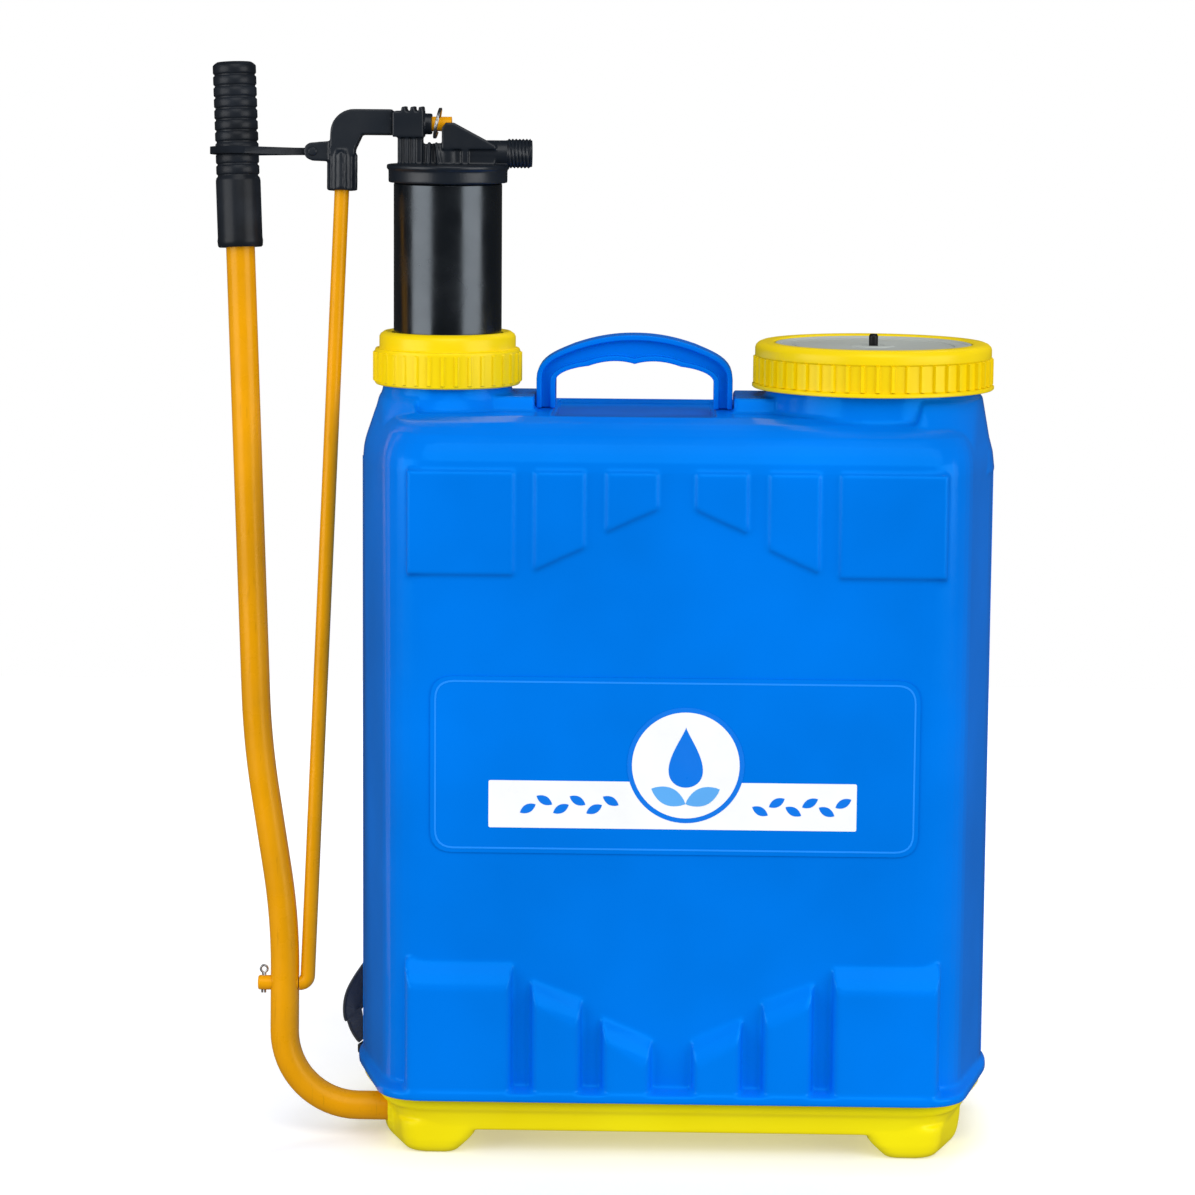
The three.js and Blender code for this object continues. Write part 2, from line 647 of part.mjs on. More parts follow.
function collar() {
  const { outer, plain, inner, bottom, step, top, ribs } = COLLAR;
  const lipBottom = PUMP.rim + 9.7;
  const upper = turned([
    [35.2, lipBottom], [inner, lipBottom], [inner, bottom], [outer - 2.2, bottom], [outer - 2.2, step],
    [plain, step], [plain, top - 3.4], [plain - 3, top], [35.2, top], [35.2, lipBottom],
  ], 28);
  const nut = join(upper, ribbedRing(inner + 1, outer - 2, outer, ribs, bottom, step - 0.8));
  const seal = ring(34.6, 40.6, PUMP.rim + 5.4, PUMP.rim + 9.4, 20);
  const assembly = group(piece('pump_collar_nut', 'yellow', nut), piece('collar_seal', 'rubber', seal));
  assembly.position.x = PUMP.x;
  return assembly;
}

// ------------------------------------------------------------------ plunger: chamber, head, piston

// The head on top of the air chamber: bearing block for the link rod, rib, wedge and threaded outlet.
function chamberHead() {
  const { plate, plateTop, outletZ, outletEnd } = HEAD;
  const { z } = HEAD_PIN;
  const rel = (x) => x - PUMP.x;
  const body = turned([
    [0, 596], [8.6, 596], [8.6, 600], [27.4, 600], [27.4, 596], [30.6, 596], [30.6, 602.8], [plate, 602.8],
    [plate, plateTop - 2.4], [plate - 2.4, plateTop], [0, plateTop],
  ], 24);
  const bearing = block([rel(-179.8), -11, 630], [rel(-160.6), 11, 646]);
  const columns = block([rel(-176.8), -8, 611], [rel(-161.5), 8, 631]);
  const bush = shaft(6.6, rel(-161), rel(-155.6), HEAD_PIN.y, z, 12);
  const ridges = [-173, -167.4, -162.2].map((x) => block([rel(x) - 1.2, -11, 645], [rel(x) + 1.2, 11, 648.6]));
  const ribs = [-175.5, -171, -166.5].map((x) => block([rel(x) - 0.8, -9.6, 611], [rel(x) + 0.8, 9.6, 630.5]));
  const wedge = plateXZ(
    [[-149.1, 611], [-149.1, 635.9], [-146.6, 639.1], [-141.4, 639.1], [-122.2, 628.9], [-115.2, 625], [-115.2, 611]]
      .map(([x, height]) => [rel(x), height]),
    -10.5, -7.5,
  );
  const crossRib = block([rel(-137.6), -8, 611], [rel(-134.6), 8, 627]);
  const boss = disc(9.6, 611, outletZ + 6, 14);
  const spout = shaft(8.2, 0, rel(-108.6), 0, outletZ, 14);
  const saddle = block([rel(-150), -8, 611], [rel(-116), 6, outletZ]);
  const thread = outletThread(rel(-109), rel(outletEnd), outletZ);
  const mast = join(bearing, columns, bush, ...ridges, ...ribs);
  const solid = join(body, mast, wedge, crossRib, boss, saddle, spout, thread);
  const bores = [
    shaft(ROD.radius + 0.4, rel(-181), rel(-155), HEAD_PIN.y, z, 12),
    shaft(5.5, -1, rel(outletEnd) + 1, 0, outletZ, 12),
    disc(5.3, 590, outletZ, 12),
  ];
  return piece('chamber_head', 'black', cut(solid, ...bores));
}

// Eight crests of a coarse pipe thread, drawn as rings.
function outletThread(from, to, z) {
  const [crest, root, count] = [9.3, 8.3, 7];
  const pitch = (to - from) / count;
  const profile = [[0, from]];
  for (let i = 0; i < count; i++) {
    const start = from + i * pitch;
    profile.push([root, start + 0.05 * pitch], [crest, start + 0.4 * pitch], [crest, start + 0.65 * pitch]);
  }
  profile.push([root, to], [0, to]);
  return alongX(turned(profile, 12), 0, z);
}

function airChamber() {
  const { outer, inner, bottom, top, floor } = CHAMBER;
  const hole = PLUNGER.outer + GAP;
  return piece('air_chamber', 'black', turned([
    [hole, bottom], [outer - 1.5, bottom], [outer, bottom + 1.5], [outer, top],
    [inner, top], [inner, bottom + floor], [hole, bottom + floor], [hole, bottom],
  ], 24));
}

function plungerTube() {
  const { outer, inner, bottom, top } = PLUNGER;
  const seat = CHAMBER.bottom + CHAMBER.floor + GAP;
  return piece('plunger_tube', 'steel', turned([
    [inner, bottom], [outer, bottom], [outer, seat], [outer + 4, seat], [outer + 4, seat + 3],
    [outer, seat + 3], [outer, top], [inner, top], [inner, bottom],
  ], 14));
}

function piston() {
  const { bottom, top, cup, body } = PISTON;
  const { outer } = PLUNGER;
  const [hub, ledge, hole, seat] = [15, bottom + 4, 4.5, PLUNGER.bottom - GAP];
  const core = turned([
    [hole, bottom], [body, bottom], [body, ledge], [hub, ledge], [hub, top],
    [outer + GAP, top], [outer + GAP, seat], [hole, seat], [hole, bottom],
  ], 14);
  const washer = turned([
    [hub + GAP, ledge + GAP], [cup - 1, ledge + GAP], [cup, ledge + 9], [cup - 1.6, ledge + 10],
    [cup - 3.2, ledge + 4], [hub + GAP, ledge + 4], [hub + GAP, ledge + GAP],
  ], 16);
  return group(piece('piston_body', 'natural', core), piece('piston_cup', 'rubber', washer));
}

function plunger() {
  const [deliveryBall, hole] = [6, 4.5];
  const ballZ = seatedBall(deliveryBall, hole, PLUNGER.bottom - GAP);
  const cageLow = ballZ + 4 + Math.sqrt(deliveryBall ** 2 - 5 ** 2) + GAP;
  const assembly = group(
    airChamber(),
    chamberHead(),
    piece('head_gasket', 'rubber', ring(31.3, 33.6, CHAMBER.top + GAP, CHAMBER.top + 1.1, 20)),
    piece('dip_tube', 'natural', ring(3.4, 5, 384, 612, 16)),
    plungerTube(),
    piston(),
    piece('delivery_cage', 'black', ring(5, PLUNGER.inner - GAP, cageLow, cageLow + 3, 16)),
    ball('delivery_ball', deliveryBall, ballZ),
  );
  assembly.position.x = PUMP.x;
  return assembly;
}

// ------------------------------------------------------------------ lever

// Drawn upright from the shaft axis, then leaned back about it.
function lever() {
  const { outer, inner, top, upperBend, lowerBend, footBendReach, shaftEnd } = LEVER;
  const centreline = bentLine([
    [top.x, 0, top.h],
    [upperBend.x, 0, upperBend.h, upperBend.reach],
    [lowerBend.x, 0, lowerBend.h, lowerBend.reach],
    [lowerBend.x, 0, 0, footBendReach],
    [shaftEnd, 0, 0],
  ]);
  const pinX = shaftEnd - 6;
  const crankHole = shaft(ROD.radius + GAP, lowerBend.x - 12, lowerBend.x + 12, 0, CRANK, 12);
  const pinHole = disc(1.9, -12, 12, 8).translate(pinX, 0, 0);
  const tube = cut(pipe(centreline, outer, inner, 5), crankHole, pinHole);
  const linkPin = cut(
    shaft(ROD.radius, -262, lowerBend.x + outer - 0.2, 0, CRANK, 12),
    disc(1.5, CRANK - 6, CRANK + 6, 8).translate(-258.4, 0, 0),
  );
  const assembly = group(
    piece('lever_tube', 'leverYellow', tube),
    leverGrip(),
    piece('link_pin', 'leverYellow', linkPin),
    piece('link_split_pin', 'steel', splitPin(1.1, 7, CRANK).translate(-258.4, 0, 0)),
    piece('shaft_washer', 'steel', sleeve(9.4, 12, -145.7, -144.1, 0, 0, 20)),
    piece('shaft_split_pin', 'steel', splitPin(1.5, 10, 0).translate(pinX, 0, 0)),
  );
  assembly.position.set(0, LEVER.y, LEVER.z);
  assembly.rotation.x = -LEVER.lean;
  return assembly;
}

// A straight pin with a round head, upright, centred on the height h.
function splitPin(radius, half, h) {
  return turned([
    [0, h - half], [radius, h - half + 0.8], [radius, h + half], [radius * 2, h + half + 1],
    [radius * 2, h + half + 3], [0, h + half + 4],
  ], 8);
}

// Rubber grip closed at the top, ribbed where it is held and plain below.
function leverGrip() {
  const { bottom, ribsFrom, top, sleeve: sleeveRadius, rib, groove, ribs } = GRIP;
  const bore = LEVER.outer + GAP;
  const profile = [[bore, bottom], [sleeveRadius, bottom], [sleeveRadius, ribsFrom - 1]];
  const pitch = (top - 2 - ribsFrom) / ribs;
  for (let i = 0; i < ribs; i++) {
    const start = ribsFrom + i * pitch;
    profile.push([groove, start], [rib, start + 0.3 * pitch], [rib, start + 0.9 * pitch]);
  }
  profile.push([rib - 1.6, top], [0, top], [0, LEVER.top.h + GAP], [bore, LEVER.top.h + GAP], [bore, bottom]);
  const slant = Math.atan2(LEVER.upperBend.x - LEVER.top.x, LEVER.top.h - LEVER.upperBend.h);
  const grip = turned(profile, 14).translate(0, 0, -LEVER.top.h).rotateY(-slant);
  return piece('lever_grip', 'rubber', grip.translate(LEVER.top.x, 0, LEVER.top.h));
}

// ------------------------------------------------------------------ link rod

// Drawn hanging from the head pin, then swung so that its lower end meets the lever's crank hole.
function linkRod() {
  const crankY = LEVER.y + CRANK * Math.sin(LEVER.lean);
  const crankZ = LEVER.z + CRANK * Math.cos(LEVER.lean);
  const length = Math.hypot(HEAD_PIN.y - crankY, HEAD_PIN.z - crankZ);
  const { radius, endX, cornerX, lowerX, upperReach, lowerReach, stopX, cotterX } = ROD;
  const centreline = bentLine([
    [endX, 0, 0],
    [cornerX, 0, 0, upperReach],
    [lowerX, 0, -length, lowerReach],
    [stopX, 0, -length],
  ]);
  const slot = block([cotterX - 1.4, -2.6, -6], [cotterX + 1.4, 1.4, 6]);
  const rod = cut(pipe(centreline, radius, 0, 5), slot);
  const sleeveShape = cut(elbow(), pipe(centreline, radius + GAP, 0, 5));
  const cotter = new THREE.TorusGeometry(9, 0.8, 6, 20).rotateY(Math.PI / 2).translate(cotterX, -8.8, 0);
  const assembly = group(
    piece('link_rod', 'leverYellow', rod),
    piece('rod_elbow_sleeve', 'black', sleeveShape),
    piece('ring_cotter', 'steel', cotter),
    piece('keeper_pin', 'steel', keeperPin()),
    piece('keeper_loop', 'rubber', keeperLoop()),
  );
  assembly.position.set(0, HEAD_PIN.y, HEAD_PIN.z);
  assembly.rotation.x = Math.asin((HEAD_PIN.y - crankY) / length) * -1;
  return assembly;
}

const KEEPER = { x: -230.2, h: -17.8, pin: 1.8 }; // the lug's pin, along Y

// The moulded sleeve over the rod's bend, with the ribbed socket below and the keeper's lug on its left.
function elbow() {
  const arm = plateXZ([
    [-180.2, 8.6], [-205, 8.6], [-213, 6], [-217.6, 0], [-219, -8], [-219.6, -20],
    [-204, -20], [-203.6, -16], [-199.4, -7], [-180.2, -7],
  ], -7.4, 7.4);
  const socket = turned([
    [0, -42], [8.6, -42], [9.3, -40], [9.3, -20], [8.4, -17], [0, -17],
  ], 16).translate(-211.9, 0, 0);
  const ribs = [-1, 1].map((side) => block([-213, side * 8.6 - 1.4, -41], [-210.8, side * 8.6 + 1.4, -18]));
  const lug = plateXZ([
    [KEEPER.x - 4.6, -22], [KEEPER.x - 4.6, -14], [KEEPER.x + 1, -12.4], [-216, -11], [-216, -24], [KEEPER.x, -23.4],
  ], -4.4, 4.4);
  const slot = block([KEEPER.x - 8, -2.4, -26], [KEEPER.x + 6, 2.4, -8]);
  const pinHole = alongY(disc(KEEPER.pin + GAP, -8, 8, 10), KEEPER.x, KEEPER.h);
  return join(arm, socket, ...ribs, cut(lug, slot, pinHole));
}

function keeperPin() {
  return alongY(disc(KEEPER.pin, -4.2, 4.2, 10), KEEPER.x, KEEPER.h);
}

// A flat teardrop loop: an eye on the pin, then a band round the grip.
function keeperLoop() {
  const [gripX, gripY] = [-277.7, -2.4];
  const [bandInner, bandOuter, half, spread] = [14.3, 16.7, 1.9, 1.13];
  const outline = new THREE.Shape();
  outline.moveTo(KEEPER.x - 2, 2);
  outline.lineTo(KEEPER.x - 12, 3.2);
  outline.absarc(gripX, gripY, bandOuter, spread, 2 * Math.PI - spread, false);
  outline.lineTo(KEEPER.x - 12, -3.2);
  outline.lineTo(KEEPER.x - 2, -2);
  const hole = new THREE.Path();
  hole.moveTo(KEEPER.x - 15, 0);
  hole.lineTo(gripX + bandInner * Math.cos(spread), gripY + bandInner * Math.sin(spread));
  hole.absarc(gripX, gripY, bandInner, spread, 2 * Math.PI - spread, false);
  outline.holes.push(hole);
  const band = new THREE.ExtrudeGeometry(outline, { depth: 2 * half, bevelEnabled: false, curveSegments: 8 });
  const eye = alongY(disc(4.2, -2, 2, 12), KEEPER.x, KEEPER.h);
  const drop = band.translate(0, 0, KEEPER.h - half);
  return cut(join(drop, eye), alongY(disc(KEEPER.pin + GAP, -4, 4, 10), KEEPER.x, KEEPER.h));
}

// ------------------------------------------------------------------ filler lid

function filler() {
  const { rim, bore } = FILLER;
  const { outer, plain, bottom, ribTop, top, ribs, disc: discRadius } = LID;
  const flange = rim + 4.4;
  const lipBottom = flange + 3.8;
  const clearance = 1.2; // keeps the ring's flats off the disc's corners as it turns
  const lidDisc = turned([
    [2.3, flange], [67.8, flange], [67.8, flange + 3.5], [discRadius, flange + 3.5], [discRadius, top - 1],
    [discRadius - 2.2, top - 1], [discRadius - 2.8, top - 2.2], [3.4, top - 2.2], [3.4, top - 4.6],
    [2.3, top - 4.6], [2.3, flange],
  ], 24);
  const ringBody = turned([
    [discRadius + clearance, lipBottom], [68.8, lipBottom], [68.8, bottom + 1], [69, bottom], [outer, bottom],
    [outer, bottom + 1.8], [plain, bottom + 2.2], [plain, top - 3.4], [plain - 3.6, top],
    [discRadius + clearance, top], [discRadius + clearance, lipBottom],
  ], 24);
  const lidRing = join(ringBody, ribbedRing(70, plain - 0.2, plain + 1.2, ribs, bottom + 1, ribTop));
  const vent = turned([
    [0, flange - 1.8], [8, flange - 1.8], [8, flange - 1], [3, flange - GAP], [1.9, flange - GAP],
    [1.9, top - 2.7], [2.9, top - 2.7], [2.9, top + 3.6], [2.2, top + 5], [0, top + 5],
  ], 14);
  const assembly = group(
    strainer('filler_strainer', {
      inner: bore - 2.4, outer: bore - 1, lip: 66.4, low: 436, high: rim + 1.8, windows: 10, sill: 444, lintel: 476,
    }),
    piece('lid_gasket', 'rubber', ring(61.5, 66.4, rim + 2.1, rim + 4.1, 24)),
    piece('lid_disc', 'grey', lidDisc),
    piece('lid_ring', 'yellow', lidRing),
    piece('vent_valve', 'rubber', vent),
  );
  assembly.position.x = FILLER.x;
  return assembly;
}

// ------------------------------------------------------------------ straps on the back

function strapBracket() {
  const back = STRAP.backFace + GAP;
  const body = block([-78, back, 429], [78, back + 10, 445]);
  const slots = [-1, 1].map((side) => block([side * 44 - 17, back + 3, 420], [side * 44 + 17, back + 6.4, 450]));
  const holes = bracketScrewPlaces().map(({ x, z }) => alongY(disc(2.6, 80, back + 20, 10), x, z));
  const screws = bracketScrewPlaces().map(({ side, x, z }) => {
    const profile = [[0, 84], [2, 84.5], [2, back + 10.3], [4.2, back + 10.3], [4.2, back + 12], [0, back + 13.2]];
    return piece(`bracket_screw_${side < 0 ? 'left' : 'right'}`, 'steel', alongY(turned(profile, 10), x, z));
  });
  return group(piece('strap_bracket', 'black', cut(body, ...slots, ...holes)), ...screws);
}

// One shoulder strap: loop through the bracket, pad, ladder buckle, webbing, hook into the base's wall.
function shoulderStrap(hook) {
  const { side } = hook;
  const name = side < 0 ? 'left' : 'right';
  const { width, padWidth, padThickness, webThickness, backFace } = STRAP;
  const slotY = backFace + GAP + 4.7;
  const loop = ribbon(
    [[44, slotY, 414], [44, slotY, 426], [44, slotY, 449], [44, slotY + 6, 456]]
      .map(([x, y, z]) => [side * x, y, z, 0, 1]),
    width, webThickness,
  );
  const pad = ribbon(
    [[45, 103, 413], [50, 110, 380], [64, 117, 320], [84, 118, 255], [104, 113, 205], [116, 106, 172]]
      .map(([x, y, z]) => [side * x, y, z, 0, 1]),
    padWidth, padThickness,
  );
  const buckle = ribbon(
    [[118, 105, 170], [128, 105, 146]].map(([x, y, z]) => [side * x, y, z, 0, 1]),
    width + 8, 4.5,
  );
  const webbing = piece(`strap_webbing_${name}`, 'webbing', ribbon(webRoute(hook), width - 4, webThickness));
  return group(
    piece(`strap_loop_${name}`, 'webbing', loop),
    piece(`shoulder_pad_${name}`, 'padding', pad),
    piece(`strap_buckle_${name}`, 'black', buckle),
    webbing,
    strapHook(hook, name),
  );
}

// From the hook's bar up and round the tank's rear corner to the buckle.
function webRoute({ side, y }) {
  const bar = new THREE.Vector3(13, 0, 39).applyMatrix4(hookFrame({ side, y }).matrixWorld);
  const bulge = side < 0 ? 8 : -0.5;
  const start = [bar.x, bar.y, bar.z + 1, side, 0.3];
  const rise = [bar.x + side * bulge, bar.y + 2, 51, side, 0.3];
  const fold = [bar.x + side * (bulge + 1), bar.y + 8, 63, side, 0.4];
  const corner = [side * 187, Math.max(86, bar.y + 18), 86, side * 0.7, 0.8];
  const rear = [side * 155, 104, 110, side * 0.1, 1];
  return [start, rise, fold, corner, rear, [side * 134.5, 105, 140, 0, 1]];
}

function strapHook(hook, name) {
  const outline = [
    [-6.8, 16.2], [-3.7, 16.2], [-3.7, 20], [0.6, 20], [0.6, 14], [4.4, 14], [5.6, 23], [15, 32],
    [15, 37.4], [10.6, 37.4], [1.6, 28], [0.6, 23], [-6.8, 23],
  ];
  const shape = piece(`strap_hook_${name}`, 'black', plateXZ(outline, -11.5, 11.5));
  const frame = hookFrame(hook);
  frame.add(shape);
  return frame;
}

// ------------------------------------------------------------------ assembly

const sprayer = new THREE.Group();
sprayer.add(tank(), carryHandle(), frontLabel(), base(), ...baseScrews(), leverBushes());
sprayer.add(fixedPump(), collar(), plunger(), lever(), linkRod(), filler());
sprayer.add(strapBracket(), ...HOOKS.map(shoulderStrap));
sprayer.position.set(CENTRING.x, CENTRING.y, 0);

export default sprayer;
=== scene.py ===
"""Looks of a knapsack lever sprayer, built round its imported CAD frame.

Lengths are in millimetres in the tank's own frame: X to the right, Y towards the wearer's back,
Z up from the ground, with X = 0 and Y = 0 in the middle of the base.
"""

import json
import math

import bmesh
import bpy
from mathutils import Matrix, Quaternion, Vector


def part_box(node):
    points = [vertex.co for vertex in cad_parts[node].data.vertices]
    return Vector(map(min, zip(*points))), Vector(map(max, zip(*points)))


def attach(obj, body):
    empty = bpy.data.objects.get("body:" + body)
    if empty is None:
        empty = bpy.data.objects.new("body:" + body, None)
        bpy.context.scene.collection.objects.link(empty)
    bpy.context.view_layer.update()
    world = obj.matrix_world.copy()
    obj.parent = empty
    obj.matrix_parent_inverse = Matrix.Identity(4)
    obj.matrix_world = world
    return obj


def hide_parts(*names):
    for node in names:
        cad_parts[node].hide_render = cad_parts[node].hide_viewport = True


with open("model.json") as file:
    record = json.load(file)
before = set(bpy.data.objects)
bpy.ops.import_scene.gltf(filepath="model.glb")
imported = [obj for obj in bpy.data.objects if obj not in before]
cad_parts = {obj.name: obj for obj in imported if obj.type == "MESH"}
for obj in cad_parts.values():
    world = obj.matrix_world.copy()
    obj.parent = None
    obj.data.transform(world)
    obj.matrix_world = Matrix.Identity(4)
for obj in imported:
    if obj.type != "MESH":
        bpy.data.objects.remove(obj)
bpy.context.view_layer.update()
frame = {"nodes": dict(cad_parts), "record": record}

# ---- sizes

MM = 0.001
base_low, base_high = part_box("base")
ORIGIN = Vector(((base_low.x + base_high.x) / 2, (base_low.y + base_high.y) / 2, 0))

FRONT = -92  # the tank's front face, in y
BODY = (202.4, 174, 92)  # half widths at mid depth and at the front, half depth
FLANGE = (205, 178, 97)
PUMP_X, FILLER_X, HANDLE_X = -145.7, 122.4, -27.5
PUMP_AXIS, FILLER_AXIS = (PUMP_X, 0, 0), (FILLER_X, 0, 0)
SHOULDER = 461
LEVER_PIVOT = Vector((0, -50, 20))
LEVER_LEAN = math.radians(4.4)
CRANK = 77.6
PIN_HEIGHT, OUTLET_HEIGHT = 638, 620
HEAD_PIN = Vector((0, 0, PIN_HEIGHT))
ROD_LENGTH = math.hypot(50 - CRANK * math.sin(LEVER_LEAN), 618 - CRANK * math.cos(LEVER_LEAN))
ROD_LEAN = math.asin((50 - CRANK * math.sin(LEVER_LEAN)) / ROD_LENGTH)
KEEPER_X, KEEPER_H = -230.2, -17.8
WALL_LEAN = math.atan2(28, 89)  # how far the base's side walls turn from the tank's depth

TUBE_RADIUS, ROD_RADIUS = 9, 4.6
WEBBING_WIDTH, WEBBING_THICKNESS = 26, 2.2
PLAN_ROUNDING = 24  # how far each corner of the tank's plan is rounded off
SCREW_PITCH = 5.03  # what the collar nut and the lid ring rise in a turn
SIDES = (("left", -1), ("right", 1))

LEVER_FRAME = Matrix.Translation(LEVER_PIVOT) @ Matrix.Rotation(-LEVER_LEAN, 4, "X")
ROD_FRAME = Matrix.Translation(HEAD_PIN) @ Matrix.Rotation(-ROD_LEAN, 4, "X")

# ---- mesh helpers


def linked(name, data):
    """A new object in the scene, of a mesh, a light or a camera."""
    made = bpy.data.objects.new(name, data)
    bpy.context.scene.collection.objects.link(made)
    return made


def reworked(mesh, *operations):
    """Runs operations on the mesh, then turns its faces outwards."""
    work = bmesh.new()
    work.from_mesh(mesh)
    for operation in operations:
        operation(work)
    bmesh.ops.recalc_face_normals(work, faces=work.faces)
    work.to_mesh(mesh)
    work.free()


def make(name, vertices, faces, at=None):
    """A new object from points in the tank's frame, with its faces turned outwards."""
    turn = at or Matrix.Identity(4)
    mesh = bpy.data.meshes.new(name)
    mesh.from_pydata([(turn @ Vector(v)) * MM + ORIGIN for v in vertices], [], faces)
    reworked(
        mesh,
        lambda work: bmesh.ops.remove_doubles(work, verts=work.verts, dist=1e-6),
        lambda work: bmesh.ops.dissolve_degenerate(work, dist=1e-7, edges=work.edges),
    )
    return linked(name, mesh)


def discard(made):
    mesh = made.data
    bpy.data.objects.remove(made)
    bpy.data.meshes.remove(mesh)


def modified(made, kind, **settings):
    """The object with one modifier added and applied."""
    modifier = made.modifiers.new(kind, kind)
    for key, value in settings.items():
        setattr(modifier, key, value)
    graph = bpy.context.evaluated_depsgraph_get()
    result = bpy.data.meshes.new_from_object(made.evaluated_get(graph))
    made.modifiers.clear()
    old = made.data
    made.data = result
    result.name = made.name
    bpy.data.meshes.remove(old)
    return made


def combined(made, tools, operation):
    """Unites with each tool, or cuts each tool away."""
    for tool in tools:
        modified(made, "BOOLEAN", operation=operation, object=tool, solver="MANIFOLD")
        discard(tool)
    return made


def united(made, *tools):
    return combined(made, tools, "UNION")


def carved(made, *tools):
    return combined(made, tools, "DIFFERENCE")


def shaded(made, angle=35):
    made.data.shade_smooth()
    made.data.set_sharp_from_angle(angle=math.radians(angle))
    return made


def moulded(made, voxel, rounds):
    """Even small faces with every edge eased, as a mould leaves them."""
    modified(made, "REMESH", mode="VOXEL", voxel_size=voxel * MM, use_smooth_shade=True)
    modified(made, "SMOOTH", factor=0.5, iterations=rounds)
    made.data.shade_smooth()
    return made


def bevelled(made, width, segments=2, angle=30):
    modified(
        made,
        "BEVEL",
        width=width * MM,
        segments=segments,
        limit_method="ANGLE",
        angle_limit=math.radians(angle),
        use_clamp_overlap=True,
    )
    made.data.shade_smooth()
    return modified(made, "WEIGHTED_NORMAL", keep_sharp=True)


def eased(points, reach, steps=4, closed=True):
    """The same path with each corner rounded along `reach` of its two sides."""
    points = [Vector(p) for p in points]
    path = []
    for i, corner in enumerate(points):
        if not closed and i in (0, len(points) - 1):
            path.append(corner)
            continue
        before = points[i - 1] - corner
        after = points[(i + 1) % len(points)] - corner
        start = corner + before.normalized() * min(reach, before.length * 0.48)
        end = corner + after.normalized() * min(reach, after.length * 0.48)
        for step in range(steps + 1):
            t = step / steps
            path.append(start * (1 - t) ** 2 + corner * (2 * t * (1 - t)) + end * t * t)
    return path


def loft(name, rings, at=None):
    """A closed skin over rings of equal count."""
    count = len(rings[0])
    vertices = [p for ring in rings for p in ring]
    faces = [tuple(range(count)), tuple(len(vertices) - count + i for i in range(count))]
    for r in range(len(rings) - 1):
        for i in range(count):
            a, b = r * count + i, r * count + (i + 1) % count
            faces.append((a, b, b + count, a + count))
    return make(name, vertices, faces, at)


def block(name, low, high, at=None):
    (x0, y0, z0), (x1, y1, z1) = low, high
    rings = [[(x0, y0, z), (x1, y0, z), (x1, y1, z), (x0, y1, z)] for z in (z0, z1)]
    return loft(name, rings, at)


def plate(name, outline, y_from, y_to, at=None):
    """An outline of (x, z) points made thick along Y."""
    rings = [[(x, y, z) for x, z in outline] for y in (y_from, y_to)]
    return loft(name, rings, at)


AXES = {
    "X": lambda r, a, h: (h, r * math.cos(a), r * math.sin(a)),
    "Y": lambda r, a, h: (r * math.cos(a), h, r * math.sin(a)),
    "Z": lambda r, a, h: (r * math.cos(a), r * math.sin(a), h),
}


def lathe(name, profile, centre=(0, 0, 0), axis="Z", segments=64, hollow=False, ripple=None, at=None):
    """A profile of (radius, height) turned round an axis; `ripple` adds to the radius by angle and height."""
    place = AXES[axis]
    offset = Vector(centre)
    rows = len(profile)
    vertices = []
    for radius, height in profile:
        for k in range(segments):
            angle = 2 * math.pi * k / segments
            swell = ripple(angle, radius, height) if ripple else 0
            vertices.append(Vector(place(radius + swell, angle, height)) + offset)
    faces = []
    for i in range(rows if hollow else rows - 1):
        a, b = i * segments, ((i + 1) % rows) * segments
        for k in range(segments):
            n = (k + 1) % segments
            faces.append((a + k, a + n, b + n, b + k))
    return make(name, vertices, faces, at)


def turned(name, profile, reach, **options):
    """A lathe whose profile has rounded corners."""
    points = [(r, h, 0) for r, h in profile]
    smooth = eased(points, reach, steps=3, closed=options.get("hollow", False))
    return lathe(name, [(p.x, p.y) for p in smooth], **options)


def rod_along(name, radius, start, end, across, z, axis="X", segments=32, at=None):
    """A plain bar along an axis; `across` is its place in y, or in x where it runs along Y or Z."""
    profile = [(0, start), (radius, start), (radius, end), (0, end)]
    centre = (0, across, z) if axis == "X" else (across, 0, z)
    return lathe(name, profile, centre, axis, segments, at=at)


def bent_line(corners, steps=12):
    """Straight runs joined by round bends; a corner is a point and the reach of its bend."""
    points = [Vector(c[:3]) for c in corners]
    path = [points[0]]
    for i in range(1, len(points) - 1):
        into = (points[i] - points[i - 1]).normalized()
        out = (points[i + 1] - points[i]).normalized()
        turn, reach = into.angle(out), corners[i][3]
        radius = reach / math.tan(turn / 2)
        inwards = (out - into * math.cos(turn)).normalized()
        start = points[i] - into * reach
        centre = start + inwards * radius
        for step in range(steps + 1):
            angle = turn * step / steps
            path.append(centre - inwards * radius * math.cos(angle) + into * radius * math.sin(angle))
    path.append(points[-1])
    return path


def through(points, steps=8):
    """A smooth curve through the points, each a tuple of any length."""
    points = [Vector(p) for p in points]
    curve = []
    for i in range(len(points) - 1):
        a, b = points[max(i - 1, 0)], points[i]
        c, d = points[i + 1], points[min(i + 2, len(points) - 1)]
        bend = (a * 2 - b * 5 + c * 4 - d) * 0.5
        twist = (b * 3 - a - c * 3 + d) * 0.5
        for step in range(steps):
            t = step / steps
            curve.append(b + (c - a) * 0.5 * t + bend * t**2 + twist * t**3)
    curve.append(points[-1])
    return curve


def heading(path, i):
    return (path[min(i + 1, len(path) - 1)] - path[max(i - 1, 0)]).normalized()


def swept(name, path, section, first_side, at=None):
    """A section of (side, up) offsets carried along a path without twisting."""
    side = Vector(first_side)
    rings = []
    for i, point in enumerate(path):
        ahead = heading(path, i)
        side = (side - ahead * side.dot(ahead)).normalized()
        up = ahead.cross(side)
        rings.append([point + side * u + up * v for u, v in section])
    return loft(name, rings, at)


